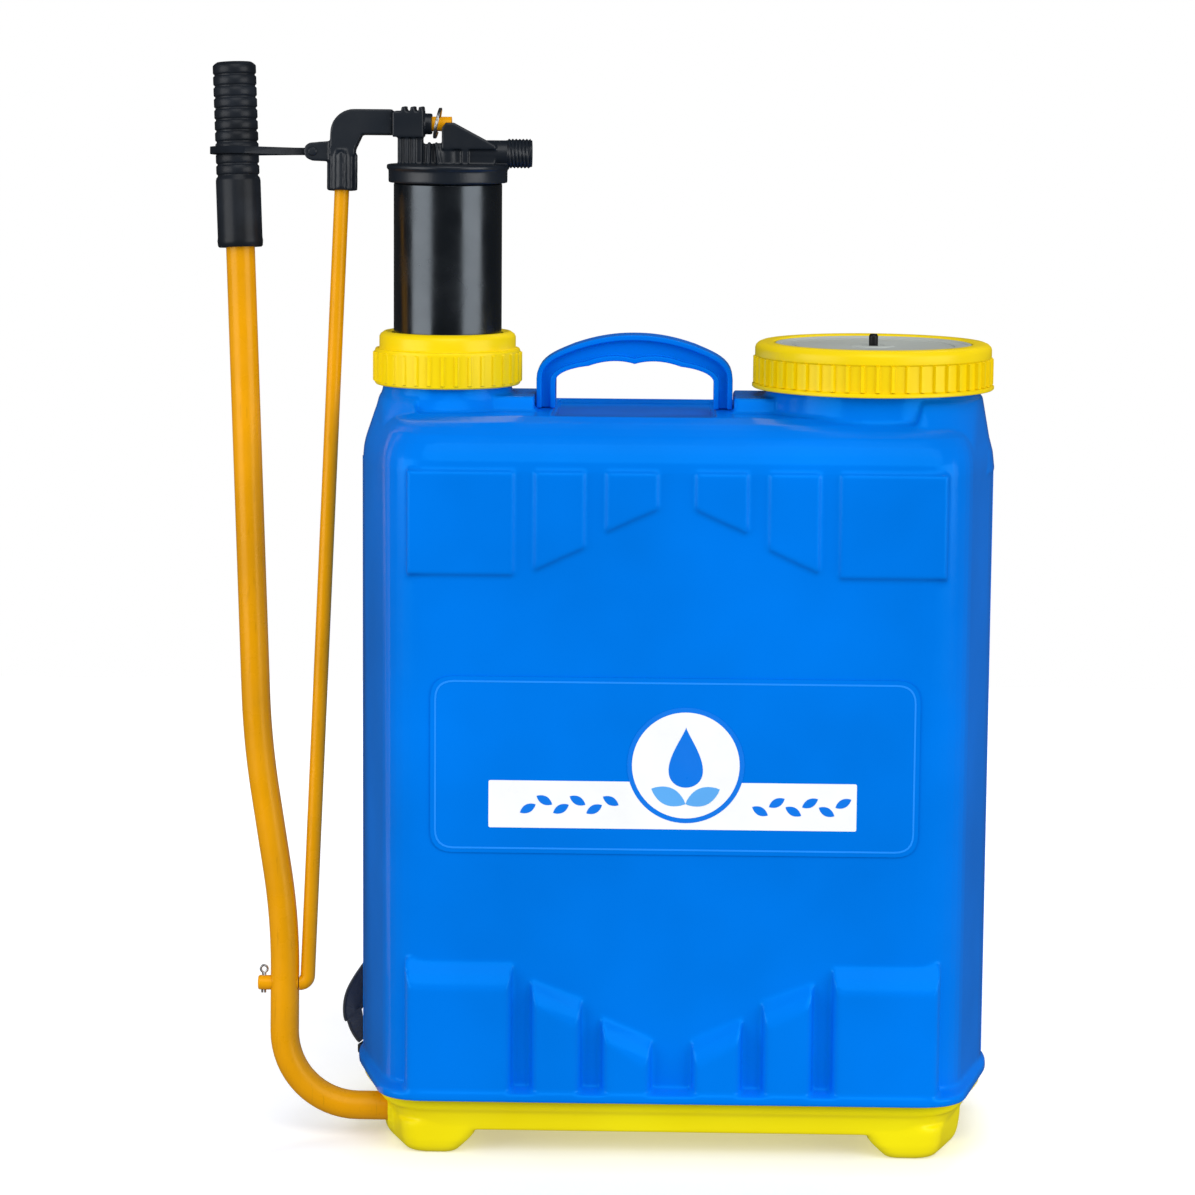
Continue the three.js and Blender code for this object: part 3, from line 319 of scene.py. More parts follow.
def arc_points(x, z, radius, first, step, count):
    """Points round a centre, a step of so many degrees apart."""
    angles = [math.radians(first + step * k) for k in range(count)]
    return [(x + radius * math.cos(a), z + radius * math.sin(a)) for a in angles]


def rounded_rectangle(left, right, low, high, reach, steps=4):
    corners = [(left, low, 0), (right, low, 0), (right, high, 0), (left, high, 0)]
    return [(p.x, p.y) for p in eased(corners, reach, steps)]


def circle(radius, count):
    angles = [2 * math.pi * k / count for k in range(count)]
    return [(radius * math.cos(a), radius * math.sin(a)) for a in angles]


def wire(name, path, radius, first_side, at=None):
    return shaded(swept(name, path, circle(radius, 12), first_side, at), 50)


def ribbon(name, stations, width=WEBBING_WIDTH):
    """A woven band through stations of x, y, z and outward normal; its UV map holds the weave's place."""
    curve = through(stations, 10)
    half, edge = width / 2, WEBBING_THICKNESS / 2
    across = [(-half, 0), (-half + 0.5, edge * 0.8)]
    across += [(-half + 1.6 + (width - 3.2) * k / 8, edge) for k in range(9)]
    across += [(half - 0.5, edge * 0.8), (half, 0)]
    section = across + [(u, -v) for u, v in reversed(across[1:-1])]
    points = [Vector(station[:3]) for station in curve]
    rings, lengths, run = [], [], 0.0
    for i, point in enumerate(points):
        ahead = heading(points, i)
        normal = Vector(curve[i][3:])
        normal = (normal - ahead * normal.dot(ahead)).normalized()
        side = ahead.cross(normal)
        if i:
            run += (point - points[i - 1]).length
        lengths.append(run)
        rings.append([point + side * u + normal * v for u, v in section])
    made = loft(name, rings)
    add_band_uv(made, rings, lengths, section)
    return shaded(made, 60)


def add_band_uv(made, rings, lengths, section):
    """Across the band in U and along it in V, in metres."""
    known = {}
    for ring, run in zip(rings, lengths):
        for point, (u, _) in zip(ring, section):
            key = tuple(round(c, 5) for c in point * MM + ORIGIN)
            known[key] = (u * MM, run * MM)
    layer = made.data.uv_layers.new(name="weave")
    for loop in made.data.loops:
        key = tuple(round(c, 5) for c in made.data.vertices[loop.vertex_index].co)
        layer.data[loop.index].uv = known.get(key, (0, 0))


# ---- material helpers


def linear(colour):
    """An 8-bit screen colour as linear light."""
    shares = [c / 255 for c in colour]
    return tuple(c / 12.92 if c <= 0.04045 else ((c + 0.055) / 1.055) ** 2.4 for c in shares) + (1,)


class Look:
    """A procedural material, built node by node."""

    def __init__(self, name):
        self.material = bpy.data.materials.new(name)
        self.material.use_nodes = True
        self.tree = self.material.node_tree
        self.shader = self.tree.nodes["Principled BSDF"]

    def node(self, kind, inputs=None, **settings):
        """A new node, with its inputs set to numbers and colours or linked to other nodes."""
        made = self.tree.nodes.new(kind)
        for key, value in settings.items():
            setattr(made, key, value)
        for key, value in (inputs or {}).items():
            if isinstance(value, bpy.types.NodeSocket):
                self.tree.links.new(value, made.inputs[key])
            else:
                made.inputs[key].default_value = value
        return made

    def set(self, **values):
        for key, value in values.items():
            self.shader.inputs[key.replace("_", " ")].default_value = value

    def coordinates(self, source, stretch=(1, 1, 1)):
        place = self.node("ShaderNodeTexCoord").outputs[source]
        return self.node("ShaderNodeMapping", {"Scale": stretch, "Vector": place}).outputs["Vector"]

    def noise(self, scale, detail=2.0, stretch=(1, 1, 1)):
        inputs = {"Scale": scale, "Detail": detail, "Vector": self.coordinates("Object", stretch)}
        return self.node("ShaderNodeTexNoise", inputs).outputs[0]

    def wave(self, scale, direction, source, distortion):
        inputs = {"Scale": scale, "Distortion": distortion, "Vector": self.coordinates(source)}
        made = self.node("ShaderNodeTexWave", inputs, wave_type="BANDS", bands_direction=direction)
        return made.outputs["Fac"]

    def ranged(self, value, low, high, source_low=0.3, source_high=0.7):
        limits = {"From Min": source_low, "From Max": source_high, "To Min": low, "To Max": high}
        return self.node("ShaderNodeMapRange", {"Value": value, **limits}).outputs["Result"]

    def math(self, operation, a, b):
        return self.node("ShaderNodeMath", {0: a, 1: b}, operation=operation).outputs[0]

    def mixed(self, share, first, second):
        inputs = {0: share, 6: first, 7: second}  # 6 and 7 are the two colour sockets
        return self.node("ShaderNodeMix", inputs, data_type="RGBA").outputs[2]

    def mottled(self, colour, dark, light, *grain):
        """The colour drifting between two shares of itself."""
        drift = self.ranged(self.noise(*grain), 0, 1)
        return self.mixed(drift, shaded_colour(colour, dark), shaded_colour(colour, light))

    def edges(self):
        """1 on sharp outer edges, 0 on flat faces."""
        return self.ranged(self.node("ShaderNodeNewGeometry").outputs["Pointiness"], 0, 1, 0.53, 0.62)

    def bump(self, height, strength, distance, under=None):
        inputs = {"Strength": strength, "Distance": distance * MM, "Height": height}
        if under:
            inputs["Normal"] = under
        return self.node("ShaderNodeBump", inputs).outputs["Normal"]

    def link(self, output, target):
        self.tree.links.new(output, self.shader.inputs[target])

    def colour(self, socket):
        self.link(socket, "Base Color")

    def roughness(self, low, high, *grain, **options):
        """Roughness drifting between two values, over noise of the given grain."""
        self.link(self.ranged(self.noise(*grain, **options), low, high), "Roughness")

    def normal(self, socket):
        self.link(socket, "Normal")


def shaded_colour(colour, share):
    """The same screen colour lighter (share above 1) or darker."""
    return linear([min(255, c * share) for c in colour])


def moulded_plastic(name, colour, gloss, grain=0.05, scuff=1.08, level=0.5, tint=(1, 1, 1), wear=0.3):
    """Plastic with slow tone changes, fine moulding grain, duller patches and rubbed edges.

    The tint keeps the plastic's own colour in its highlights, as in strongly pigmented plastic.
    """
    look = Look(name)
    tone = look.mottled(colour, 0.95, 1.04, 7, 3)
    rubbed = [min(255, c * scuff + 14) for c in colour]
    worn = look.math("MULTIPLY", look.edges(), look.ranged(look.noise(160, 4), 0, wear, 0.45, 0.65))
    look.colour(look.mixed(worn, tone, linear(rubbed)))
    look.roughness(*gloss, 30, 5)
    swell = look.bump(look.noise(26, 1), 0.25, 0.35)
    look.normal(look.bump(look.noise(1100, 2), grain, 0.25, swell))
    look.set(Specular_IOR_Level=level, Specular_Tint=(*tint, 1))
    return look.material


def powder_paint(name, colour):
    """Powder coat: orange peel and long faint scratches."""
    look = Look(name)
    tone = look.mottled(colour, 0.94, 1.05, 14, 4)
    streaks = look.ranged(look.noise(60, 3, stretch=(9, 9, 0.5)), 0, 0.35, 0.62, 0.72)
    look.colour(look.mixed(streaks, tone, shaded_colour(colour, 0.8)))
    look.roughness(0.22, 0.36, 50, 4)
    look.normal(look.bump(look.noise(420, 2), 0.16, 0.3))
    look.set(Specular_IOR_Level=0.5, Specular_Tint=(1, 0.72, 0.3, 1))
    return look.material


def rubber(name, colour, roughness=(0.45, 0.62)):
    look = Look(name)
    look.colour(look.mottled(colour, 0.8, 1.35, 45, 5))
    look.roughness(*roughness, 80, 4)
    look.normal(look.bump(look.noise(1700, 3), 0.22, 0.3))
    look.set(Coat_Weight=0.3, Coat_Roughness=0.3, Specular_IOR_Level=0.1)
    return look.material


def bright_steel(name):
    look = Look(name)
    look.set(Metallic=1.0)
    polish = look.ranged(look.noise(90, 4), 0, 1)
    look.colour(look.mixed(polish, linear((176, 178, 182)), linear((214, 215, 217))))
    look.roughness(0.18, 0.38, 500, 3, stretch=(1, 1, 8))
    look.normal(look.bump(look.noise(900, 2, stretch=(1, 1, 12)), 0.08, 0.1))
    return look.material


def print_ink(name, colour):
    look = Look(name)
    look.colour(look.mottled(colour, 0.985, 1.01, 40, 3))
    look.roughness(0.26, 0.36, 60, 3)
    look.normal(look.bump(look.noise(300, 2), 0.03, 0.1))
    look.set(Specular_IOR_Level=0.3)
    return look.material


def woven(name, colour, pitch, source="UV"):
    """Crossing yarns of the given pitch in millimetres, with fuzz and worn tone."""
    look = Look(name)
    scale = math.pi / 10 / (pitch * MM)
    first, second = ("X", "Y") if source == "UV" else ("DIAGONAL", "Z")
    warp = look.wave(scale, first, source, 0.4)
    weft = look.wave(scale, second, source, 0.4)
    yarns = look.math("MAXIMUM", warp, weft)
    tone = look.mixed(yarns, shaded_colour(colour, 0.55), shaded_colour(colour, 1.5))
    faded = look.ranged(look.noise(25, 4), 0, 0.35)
    look.colour(look.mixed(faded, tone, shaded_colour(colour, 1.9)))
    look.roughness(0.72, 0.9, 300, 3)
    look.normal(look.bump(yarns, 0.55, 0.35, look.bump(look.noise(2200, 3), 0.3, 0.2)))
    look.set(Sheen_Weight=0.25, Sheen_Roughness=0.5)
    return look.material


BLUE, YELLOW, AMBER = (0, 118, 230), (244, 213, 0), (228, 156, 0)
BLACK, GREY = (9, 13, 18), (176, 182, 178)
HANDLE_BLUE, TRAY_YELLOW, FILLED_BLACK = (0, 112, 224), (255, 231, 0), (22, 29, 38)
BLUE_GLOSS, YELLOW_GLOSS, BLACK_GLOSS = (0.02, 0.45, 1), (1, 0.9, 0.4), (0.8, 0.9, 1)

LOOKS = {
    "blue_plastic": moulded_plastic("tank polyethylene", BLUE, (0.14, 0.24), tint=BLUE_GLOSS),
    "handle": moulded_plastic("handle plastic", HANDLE_BLUE, (0.22, 0.34), tint=BLUE_GLOSS, wear=0.06),
    "label_ground": moulded_plastic("label ground", BLUE, (0.18, 0.26), tint=BLUE_GLOSS, wear=0),
    "yellow_plastic": moulded_plastic("yellow polypropylene", YELLOW, (0.28, 0.4), tint=YELLOW_GLOSS),
    "tray": moulded_plastic("tray polypropylene", TRAY_YELLOW, (0.28, 0.4), tint=YELLOW_GLOSS),
    "lever_paint": powder_paint("amber powder coat", AMBER),
    "black_plastic": moulded_plastic("black glass-filled plastic", FILLED_BLACK, (0.3, 0.46), 0.12, 1.6),
    "glossy_black": moulded_plastic(
        "black polished plastic", BLACK, (0.16, 0.34), scuff=1.6, level=1.0, tint=BLACK_GLOSS
    ),
    "grip_rubber": rubber("grip rubber", (24, 28, 34), (0.38, 0.55)),
    "seal_rubber": rubber("seal rubber", (16, 16, 17)),
    "grey_plastic": moulded_plastic("grey lid plastic", GREY, (0.3, 0.42), scuff=1.05),
    "natural_plastic": moulded_plastic("uncoloured plastic", (222, 219, 208), (0.32, 0.45), scuff=1.03),
    "steel": bright_steel("zinc-plated steel"),
    "label_film": print_ink("label blue ink", BLUE),
    "label_white": print_ink("label white ink", (246, 248, 250)),
    "label_edge": print_ink("label edge", (24, 140, 248)),
    "label_line": print_ink("label pale line", (92, 170, 240)),
    "webbing_fabric": woven("black webbing", (30, 32, 36), 1.5),
    "pad_fabric": woven("pad cloth", (36, 39, 45), 1.1, "Object"),
    "binding": woven("edge binding", (20, 21, 24), 0.9),
}


def painted(made, look):
    made.data.materials.clear()
    made.data.materials.append(LOOKS[look])


def dressed(made, look, body, nodes=()):
    """Gives a piece its material and its body, and hides the CAD nodes that it stands for."""
    painted(made, look)
    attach(made, body)
    if nodes:
        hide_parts(*nodes)
    return made


# ---- tank


def plan(sizes, z, nose=0):
    """The six-sided plan shared by the tank and the base, at one height; `nose` adds depth in front."""
    middle, front, depth = sizes
    near = -depth - nose
    corners = [(-front, near), (front, near), (middle, 0), (front, depth), (-front, depth), (-middle, 0)]
    return eased([(x, y, z) for x, y in corners], PLAN_ROUNDING, 7)


def shrunk(sizes, middle, front, depth):
    return (sizes[0] - middle, sizes[1] - front, sizes[2] - depth)


# Half sizes lost by the body's plan as the shoulder closes over, by height.
SHOULDER_INSETS = [(430, (0, 0, 0)), (436, (0.5, 0.3, 1)), (441, (1.5, 1, 3)), (446, (3, 2.3, 6)),
                   (451, (5, 4, 10)), (455, (6.5, 6.5, 15.5)), (458, (8, 9, 21)), (461, (12, 16, 32))]

# Panels on the front, mirrored about the middle: inner and outer x, height outside and how much lower inside.
LOWER_PANELS = [(98.7, 165.6, 126, 0), (55.6, 87.3, 116, 12), (12.2, 43.6, 93, 14)]
UPPER_PANELS = [(98.7, 165, 366, 0), (55.6, 87.3, 369, -14), (11, 43.6, 393, -14)]
PANEL_FOOT, PANEL_TOP = 40, 431

# Each ring of a panel: how far out of the face it is, its bevel and, below, how far its slope has come down.
LOWER_RINGS = [(-1, -0.5, 0), (5.5, 1, 8.5), (8, 2.4, 13), (9.2, 4.6, 17)]
UPPER_RINGS = [(-1, 0), (2.4, 1.2)]


def panel(name, side, inner, outer, rings):
    """A raised panel; a ring is its depth, bevel, level edge's height and far corners' heights."""
    skin = []
    for depth, bevel, level, outside, inside in rings:
        near, far, y = side * (inner + bevel), side * (outer - bevel), FRONT - depth
        skin.append([(near, y, level), (far, y, level), (far, y, outside), (near, y, inside)])
    return loft(name, skin)


def lower_panel(side, inner, outer, top, fall):
    rings = [(out, bevel, PANEL_FOOT, top - drop, top - fall - drop) for out, bevel, drop in LOWER_RINGS]
    return panel("lower_panel", side, inner, outer, rings)


def upper_panel(side, inner, outer, low, fall):
    rings = [(out, bevel, PANEL_TOP - bevel, low + bevel, low - fall + bevel) for out, bevel in UPPER_RINGS]
    return panel("upper_panel", side, inner, outer, rings)


def deck(name, start, end):
    def outline(z, inset):
        reach = 34 - inset
        return [(start, -reach, z), (end, -reach, z), (end, reach, z), (start, reach, z)]

    return loft(name, [outline(SHOULDER - 6, 0), outline(470, 5)])


def corner_facets(name, side, start, axis, radius, top):
    """The solid stretched between the body's outer corners and the outer side of a neck."""
    low = [p for p in plan(BODY, 430) if side * p.x >= start]
    low += [Vector((side * start, end * 91.6, 430)) for end in (-1, 1)]
    angles = [math.radians(-66 + 132 * k / 24) for k in range(25)]
    high = [Vector((axis + side * radius * math.cos(a), radius * math.sin(a), top)) for a in angles]
    made = make(name, low + high, [])
    reworked(made.data, lambda work: bmesh.ops.convex_hull(work, input=work.verts))
    return made


def tank():
    rings = [plan(FLANGE, 38.3, nose=5.5), plan(FLANGE, 43.4, nose=5.5), plan(BODY, 46)]
    rings += [plan(shrunk(BODY, *inset), z) for z, inset in SHOULDER_INSETS]
    body = loft("tank_body", rings)
    pump_neck = [(0, 420), (52, 430), (50, 446), (46, 458), (42, 468), (40.5, 474), (40.5, 486), (0, 486)]
    filler_neck = [(0, 415), (77.4, 425), (76, 437), (72.3, 447), (69.6, 458), (68, 466), (67, 472),
                   (67, 489), (0, 489)]
    united(
        body,
        lathe("pump_neck", pump_neck, centre=PUMP_AXIS, segments=96),
        lathe("filler_neck", filler_neck, centre=FILLER_AXIS, segments=128),
    )
    united(body, deck("deck_left", -120, -89.8), deck("deck_right", 34.8, 80))
    united(body, corner_facets("facets_left", -1, 158, PUMP_X, 43, 468))
    united(body, corner_facets("facets_right", 1, 136, FILLER_X, 69, 471))
    for side in (-1, 1):
        for sizes in LOWER_PANELS:
            united(body, lower_panel(side, *sizes))
        for sizes in UPPER_PANELS:
            united(body, upper_panel(side, *sizes))
    carved(
        body,
        rod_along("pump_bore", 37.2, 440, 500, PUMP_X, 0, "Z", 96),
        rod_along("filler_bore", 62, 430, 500, FILLER_X, 0, "Z", 96),
        block("platform", (HANDLE_X - 50, -56, 457.5), (HANDLE_X + 50, 56, 480)),
    )
    moulded(body, 1.25, 3)
    dressed(body, "blue_plastic", "root", ["tank"])


def neck_thread(name, centre_x, radius, low, high, thickness):
    """A right-hand thread standing out of a neck and sinking into it at both ends."""
    steps = 48
    count = round((high - low) / SCREW_PITCH * steps)
    path = []
    for k in range(count + 1):
        angle = 2 * math.pi * k / steps
        buried = 1.5 * max(0, 1 - min(k, count - k) / 6)
        reach = radius - buried
        height = low + SCREW_PITCH * k / steps
        path.append(Vector((centre_x + reach * math.cos(angle), reach * math.sin(angle), height)))
    dressed(wire(name, path, thickness, (0, 0, 1)), "blue_plastic", "root")


def parting_line():
    """The fine ridge that the two halves of the mould leave up both sides."""
    for name, side in SIDES:
        path = [Vector((side * 198.7, 0, z)) for z in (47, 120, 200, 280, 360, 429)]
        ridge = wire(f"parting_line_{name}", path, 0.8, (0, 1, 0))
        dressed(ridge, "blue_plastic", "root")


# ---- handle and label


def bezier(*corners):
    a, b, c, d = (Vector(p) for p in corners)
    steps, points = 10, []
    for step in range(1, steps + 1):
        t = step / steps
        points.append(a * (1 - t) ** 3 + b * 3 * t * (1 - t) ** 2 + c * 3 * t * t * (1 - t) + d * t**3)
    return [(p.x, p.y) for p in points]


def half_arch(outer, inner, top, crown, foot, wave):
    """Outline of the handle's right half, from the outer foot over the top to the inner foot."""
    points = [(outer, foot), (outer, 480)]
    points += bezier((outer, 480), (outer, 492), (50, 496), (38, crown))
    points += bezier((38, crown), (22, top - 1), (10, top), (0, top))
    inside = [(0, wave)]
    inside += bezier((0, wave), (8, wave + 2.4), (18, wave + 2.6), (29, wave - 1.5))
    inside += bezier((29, wave - 1.5), (38, wave - 2.5), (inner, 484), (inner, 478))
    inside.append((inner, foot))
    return points, inside


def carry_handle():
    """A channel bent over the platform: rims of 3.4 mm stand proud of its web on both faces."""
    rim, face, web = 3.4, 12, 7
    outside, inside = half_arch(61.6, 49.7, 507.6, 501, 461.3, 489.5)
    right = list(zip(outside, inside[::-1]))
    whole = [((-a, h), (-c, k)) for (a, h), (c, k) in right] + right[-2::-1]
    rings = []
    for (ax, az), (cx, cz) in whole:
        outer, inner = Vector((HANDLE_X + ax, 0, az)), Vector((HANDLE_X + cx, 0, cz))
        step = (inner - outer).normalized() * rim
        upper, lower = outer + step, inner - step
        corners = [(outer, -face), (outer, face), (upper, face), (upper, web), (lower, web), (lower, face),
                   (inner, face), (inner, -face), (lower, -face), (lower, -web), (upper, -web), (upper, -face)]
        rings.append([Vector((p.x, y, p.z)) for p, y in corners])
    body = bevelled(loft("handle_body", rings), 0.9, 3, 40)
    dressed(body, "handle", "root", ["carry_handle"])


def platform_cover():
    """The smooth sunk panel between the handle's legs."""
    outline = rounded_rectangle(HANDLE_X - 48, HANDLE_X + 48, -54, 54, 8)
    rings = [[(x, y, z) for x, y in outline] for z in (457.2, 458)]
    cover = bevelled(loft("platform_cover", rings), 0.3)
    dressed(cover, "label_ground", "root")


def printed(name, outline, height, look):
    """One colour of print, a thin film standing on the label."""
    film = plate(name, outline, FRONT - height, FRONT - height + 0.12)
    dressed(film, look, "root")


def shifted(points, x, z, turn=0.0):
    cos, sin = math.cos(turn), math.sin(turn)
    return [(x + (u * cos - v * sin), z + (u * sin + v * cos)) for u, v in points]


def droplet(radius):
    """A drop with its point up, round the origin."""
    points = []
    for k in range(48):
        a = 2 * math.pi * k / 48
        points.append((radius * math.sin(a) * math.sin(a / 2) ** 1.5, radius * 1.25 * math.cos(a)))
    return points


def leaf(length):
    """A pointed leaf from the origin along +X."""
    half = [(length * k / 12, length * 0.24 * math.sin(math.pi * k / 12) ** 0.8) for k in range(13)]
    return half + [(x, -z) for x, z in reversed(half[1:-1])]


def front_label():
    ground = plate("label_ground", rounded_rectangle(-150, 150, 194, 304, 14, 6), FRONT - 0.9, FRONT - 0.3)
    dressed(ground, "label_ground", "root", ["front_label"])
    outer = rounded_rectangle(-147.5, 147.5, 196.5, 301.5, 12, 6)
    inner = rounded_rectangle(-146.4, 146.4, 197.6, 300.4, 11, 6)
    frame_line = plate("label_line", outer, FRONT - 1.02, FRONT - 0.9)
    carved(frame_line, plate("label_line_hole", inner, FRONT - 2, FRONT))
    dressed(frame_line, "label_edge", "root")
    printed("label_band", rounded_rectangle(-114, 112, 210, 239.5, 1.2), 1.02, "label_white")
    x, z = 7, 250
    for name, radius, height, look in (("rim", 36, 1.14, "label_film"), ("disc", 33, 1.26, "label_white")):
        printed(f"emblem_{name}", [(x + u, z + v) for u, v in circle(radius, 72)], height, look)
    printed("emblem_drop", shifted(droplet(15), x, z + 5), 1.38, "label_film")
    for k, turn in enumerate((0.42, math.pi - 0.42)):
        printed(f"emblem_leaf_{k + 1}", shifted(leaf(23), x, z - 24, turn), 1.4, "label_line")
    for name, side in SIDES:
        for k in range(6):
            place = x + side * (45 + 10.2 * k)
            turn = (0.5 if k % 2 else -0.5) + (math.pi if side < 0 else 0)
            outline = shifted(leaf(11), place - side * 4, 224.7, turn)
            printed(f"band_leaf_{name}_{k + 1}", outline, 1.14, "label_film")


# ---- base

BASE_TOP, RIM_BOTTOM, SKIRT_TOP, SKIRT_BOTTOM = 37.7, 30.5, 29, 16
RIM, SKIRT, SKIRT_EDGE = (202, 173.5, 93), (199.5, 171, 90.5), (191, 165, 88)


def foot(name, mirror_x, mirror_y, wall):
    """One corner foot, or with a wall thickness the hollow inside it."""
    inner, outer_near, outer_far, front, back, slope = 120, 166.5, 186, 88.6, 31, 14

    def outline(z, narrowing, rounding):
        edge, near = rounding + wall, inner + narrowing + wall
        corners = [(-near, -(front - edge)), (-near, -(back + edge)),
                   (-(outer_far - edge), -(back + edge)), (-(outer_near - edge), -(front - edge))]
        return eased([(mirror_x * x, mirror_y * y, z) for x, y in corners], 9, 5)

    low = 3 if wall else 0
    heights = [(low, slope, 7), (low + 1.2, slope - 1, 4.5), (low + 4, slope - 3.5, 2.4),
               (low + 9, slope - 8.5, 1), (SKIRT_BOTTOM + 1, -1, 0), (SKIRT_BOTTOM + 5, -2, 0)]
    return loft(name, [outline(*height) for height in heights])


def base():
    wall = 3
    outside = [(SKIRT_EDGE, SKIRT_BOTTOM), (SKIRT, SKIRT_TOP), (RIM, RIM_BOTTOM), (RIM, BASE_TOP)]
    body = loft("base_tray", [plan(sizes, z) for sizes, z in outside])
    lower, upper = (shrunk(sizes, wall, wall, wall) for sizes in (SKIRT_EDGE, SKIRT))
    rings = [plan(lower, SKIRT_BOTTOM - 2), plan(upper, SKIRT_TOP), plan(upper, BASE_TOP - wall)]
    hollow = loft("base_hollow", rings)
    sides = [(1, 1), (-1, 1), (1, -1), (-1, -1)]
    united(body, *[foot(f"foot_{i}", mx, my, 0) for i, (mx, my) in enumerate(sides)])
    carved(body, hollow, *[foot(f"foot_hollow_{i}", mx, my, wall) for i, (mx, my) in enumerate(sides)])
    united(body, block("bearing_rib", (-155, -84, 2), (-149, -24, BASE_TOP - 1)))
    for i, (start, end) in enumerate([(-178.5, -161), (-156.5, -146)]):
        united(body, rod_along(f"housing_{i}", 15, start, end, -50, 20))
    carved(body, rod_along("lever_hole", 9.8, -215, -145, -50, 20))
    for k, (side, y) in enumerate(HOOKS):
        carved(body, block(f"hook_slot_{k}", (-9, -13, 19), (4, 13, 24), hook_frame(side, y)))
    moulded(body, 1.5, 3)
    dressed(body, "tray", "root", ["base"])


# ---- collar nut, air chamber, head


def band_of_ribs(count, crest, low, high, start, end, above):
    """Upright ribs from `low` to `high`, each standing out from `start` to `end` of its pitch."""
    ease = 0.03

    def ripple(angle, radius, height):
        if not low <= height <= high or radius < above:
            return 0
        share = (angle * count / (2 * math.pi)) % 1
        rise = min(1, max(0, (share - start) / ease + 1))
        fall = min(1, max(0, (end - share) / ease + 1))
        return crest * min(rise, fall)

    return ripple


def collar_nut():
    ribs = band_of_ribs(34, 1.3, 477.2, 495.6, 0.36, 0.6, 45)
    profile = [
        (35.2, 495.7), (41.7, 495.7), (41.7, 475.3), (45, 475.3), (45.8, 476.1), (45.8, 476.9), (45.8, 477.5),
        (45.8, 495.3), (45.8, 495.9), (45.8, 496.6), (45.4, 497.7), (43.6, 497.9), (43, 498.6), (43, 505.2),
        (42.2, 506.8), (40, 508.4), (38.6, 508.6), (37.4, 507.9), (35.2, 507.6),
    ]
    nut = lathe("collar_nut", profile, centre=PUMP_AXIS, segments=34 * 16, hollow=True, ripple=ribs)
    dressed(shaded(nut, 32), "yellow_plastic", "collar_nut", ["pump_collar_nut"])


def air_chamber():
    profile = [(11.3, 355), (32, 355), (34, 357), (34, 360), (34, 601.4), (31, 601.4), (31, 359), (11.3, 359)]
    body = turned("air_chamber_shell", profile, 1.2, centre=PUMP_AXIS, segments=96, hollow=True)
    dressed(shaded(body), "glossy_black", "plunger", ["air_chamber"])


def head_wedge():
    outline = [(-149.1, 622.5), (-149.1, 635.9), (-146.6, 639.1), (-141.4, 639.1), (-122.2, 628.9),
               (-115.2, 625), (-115.2, 622.5)]
    return plate("head_wedge", outline, -10.5, -7.5)


def chamber_head():
    seat = 611  # where everything on the cap starts, just inside its top
    profile = [(0, 601.6), (36.8, 601.6), (37.3, 602.1), (37.3, 609.8), (38.4, 610.4), (38.4, 612.4),
               (37.8, 613), (0, 613)]
    cap = lathe("head_cap", profile, centre=PUMP_AXIS, segments=96)
    tools = [block("bearing", (-179.8, -11, 630), (-160.6, 11, 646)),
             block("column", (-176.8, -8, seat), (-161.5, 8, 631)),
             rod_along("bush", 6.6, -161, -155.6, 0, PIN_HEIGHT)]
    tools += [block("crown", (x - 1.3, -11, 645), (x + 1.3, 11, 648.8)) for x in (-173, -167.4, -162.2)]
    tools += [block("rib", (x - 0.9, -9.8, seat), (x + 0.9, 9.8, 630.5)) for x in (-175.5, -171, -166.5)]
    tools += [head_wedge(), block("cross_rib", (-136.4, -10, seat), (-132.6, 8, 622.5)),
              block("web", (-162, -6, seat), (-148, 6, 625.5))]
    for low, high in (((-158.8, -156.6), (-157.8, -156.2)), ((-151.4, -149.2), (-153.4, -152.2))):
        outline = [(low[0], seat), (low[1], seat), (high[1], 627), (high[0], 627)]
        tools.append(plate("fin", outline, -9.5, -5))
    tools += [rod_along("head_boss", 9.6, seat, 626, PUMP_X, 0, "Z", 48),
              rod_along("spout", 8.2, PUMP_X, -107, 0, OUTLET_HEIGHT, segments=48),
              block("saddle", (-150, -8, seat), (-116, 6, 620))]
    united(cap, *tools)
    carved(cap, rod_along("pin_bore", 5, -181, -155, 0, PIN_HEIGHT),
           rod_along("outlet_bore", 5.5, -147, -106, 0, OUTLET_HEIGHT))
    moulded(cap, 0.7, 2)
    dressed(cap, "black_plastic", "plunger", ["chamber_head"])


def outlet_thread():
    """A right-hand pipe thread with its bore."""
    start, end, pitch, root, crest, bore = -109, -93, 2.2, 8.3, 9.3, 5.5

    def helix(angle, radius, height):
        if radius < root or not start + 1 <= height <= end - 1:
            return 0
        share = ((height - start) / pitch - angle / (2 * math.pi)) % 1
        return (crest - root) * (1 - abs(2 * share - 1)) ** 0.8

    steps = 64
    outside = [(root, start + (end - start) * k / steps) for k in range(steps + 1)]
    profile = [(bore, start)] + outside + [(root - 0.6, end), (bore + 0.4, end), (bore, end - 0.5)]
    thread = lathe("outlet_thread", profile, (0, 0, OUTLET_HEIGHT), "X", 72, hollow=True, ripple=helix)
    dressed(shaded(thread, 50), "black_plastic", "plunger")


# ---- lever and link rod


LEVER_TOP, LEVER_KNEE = (-279.6, 0, 652), (-263.3, 0, 231)


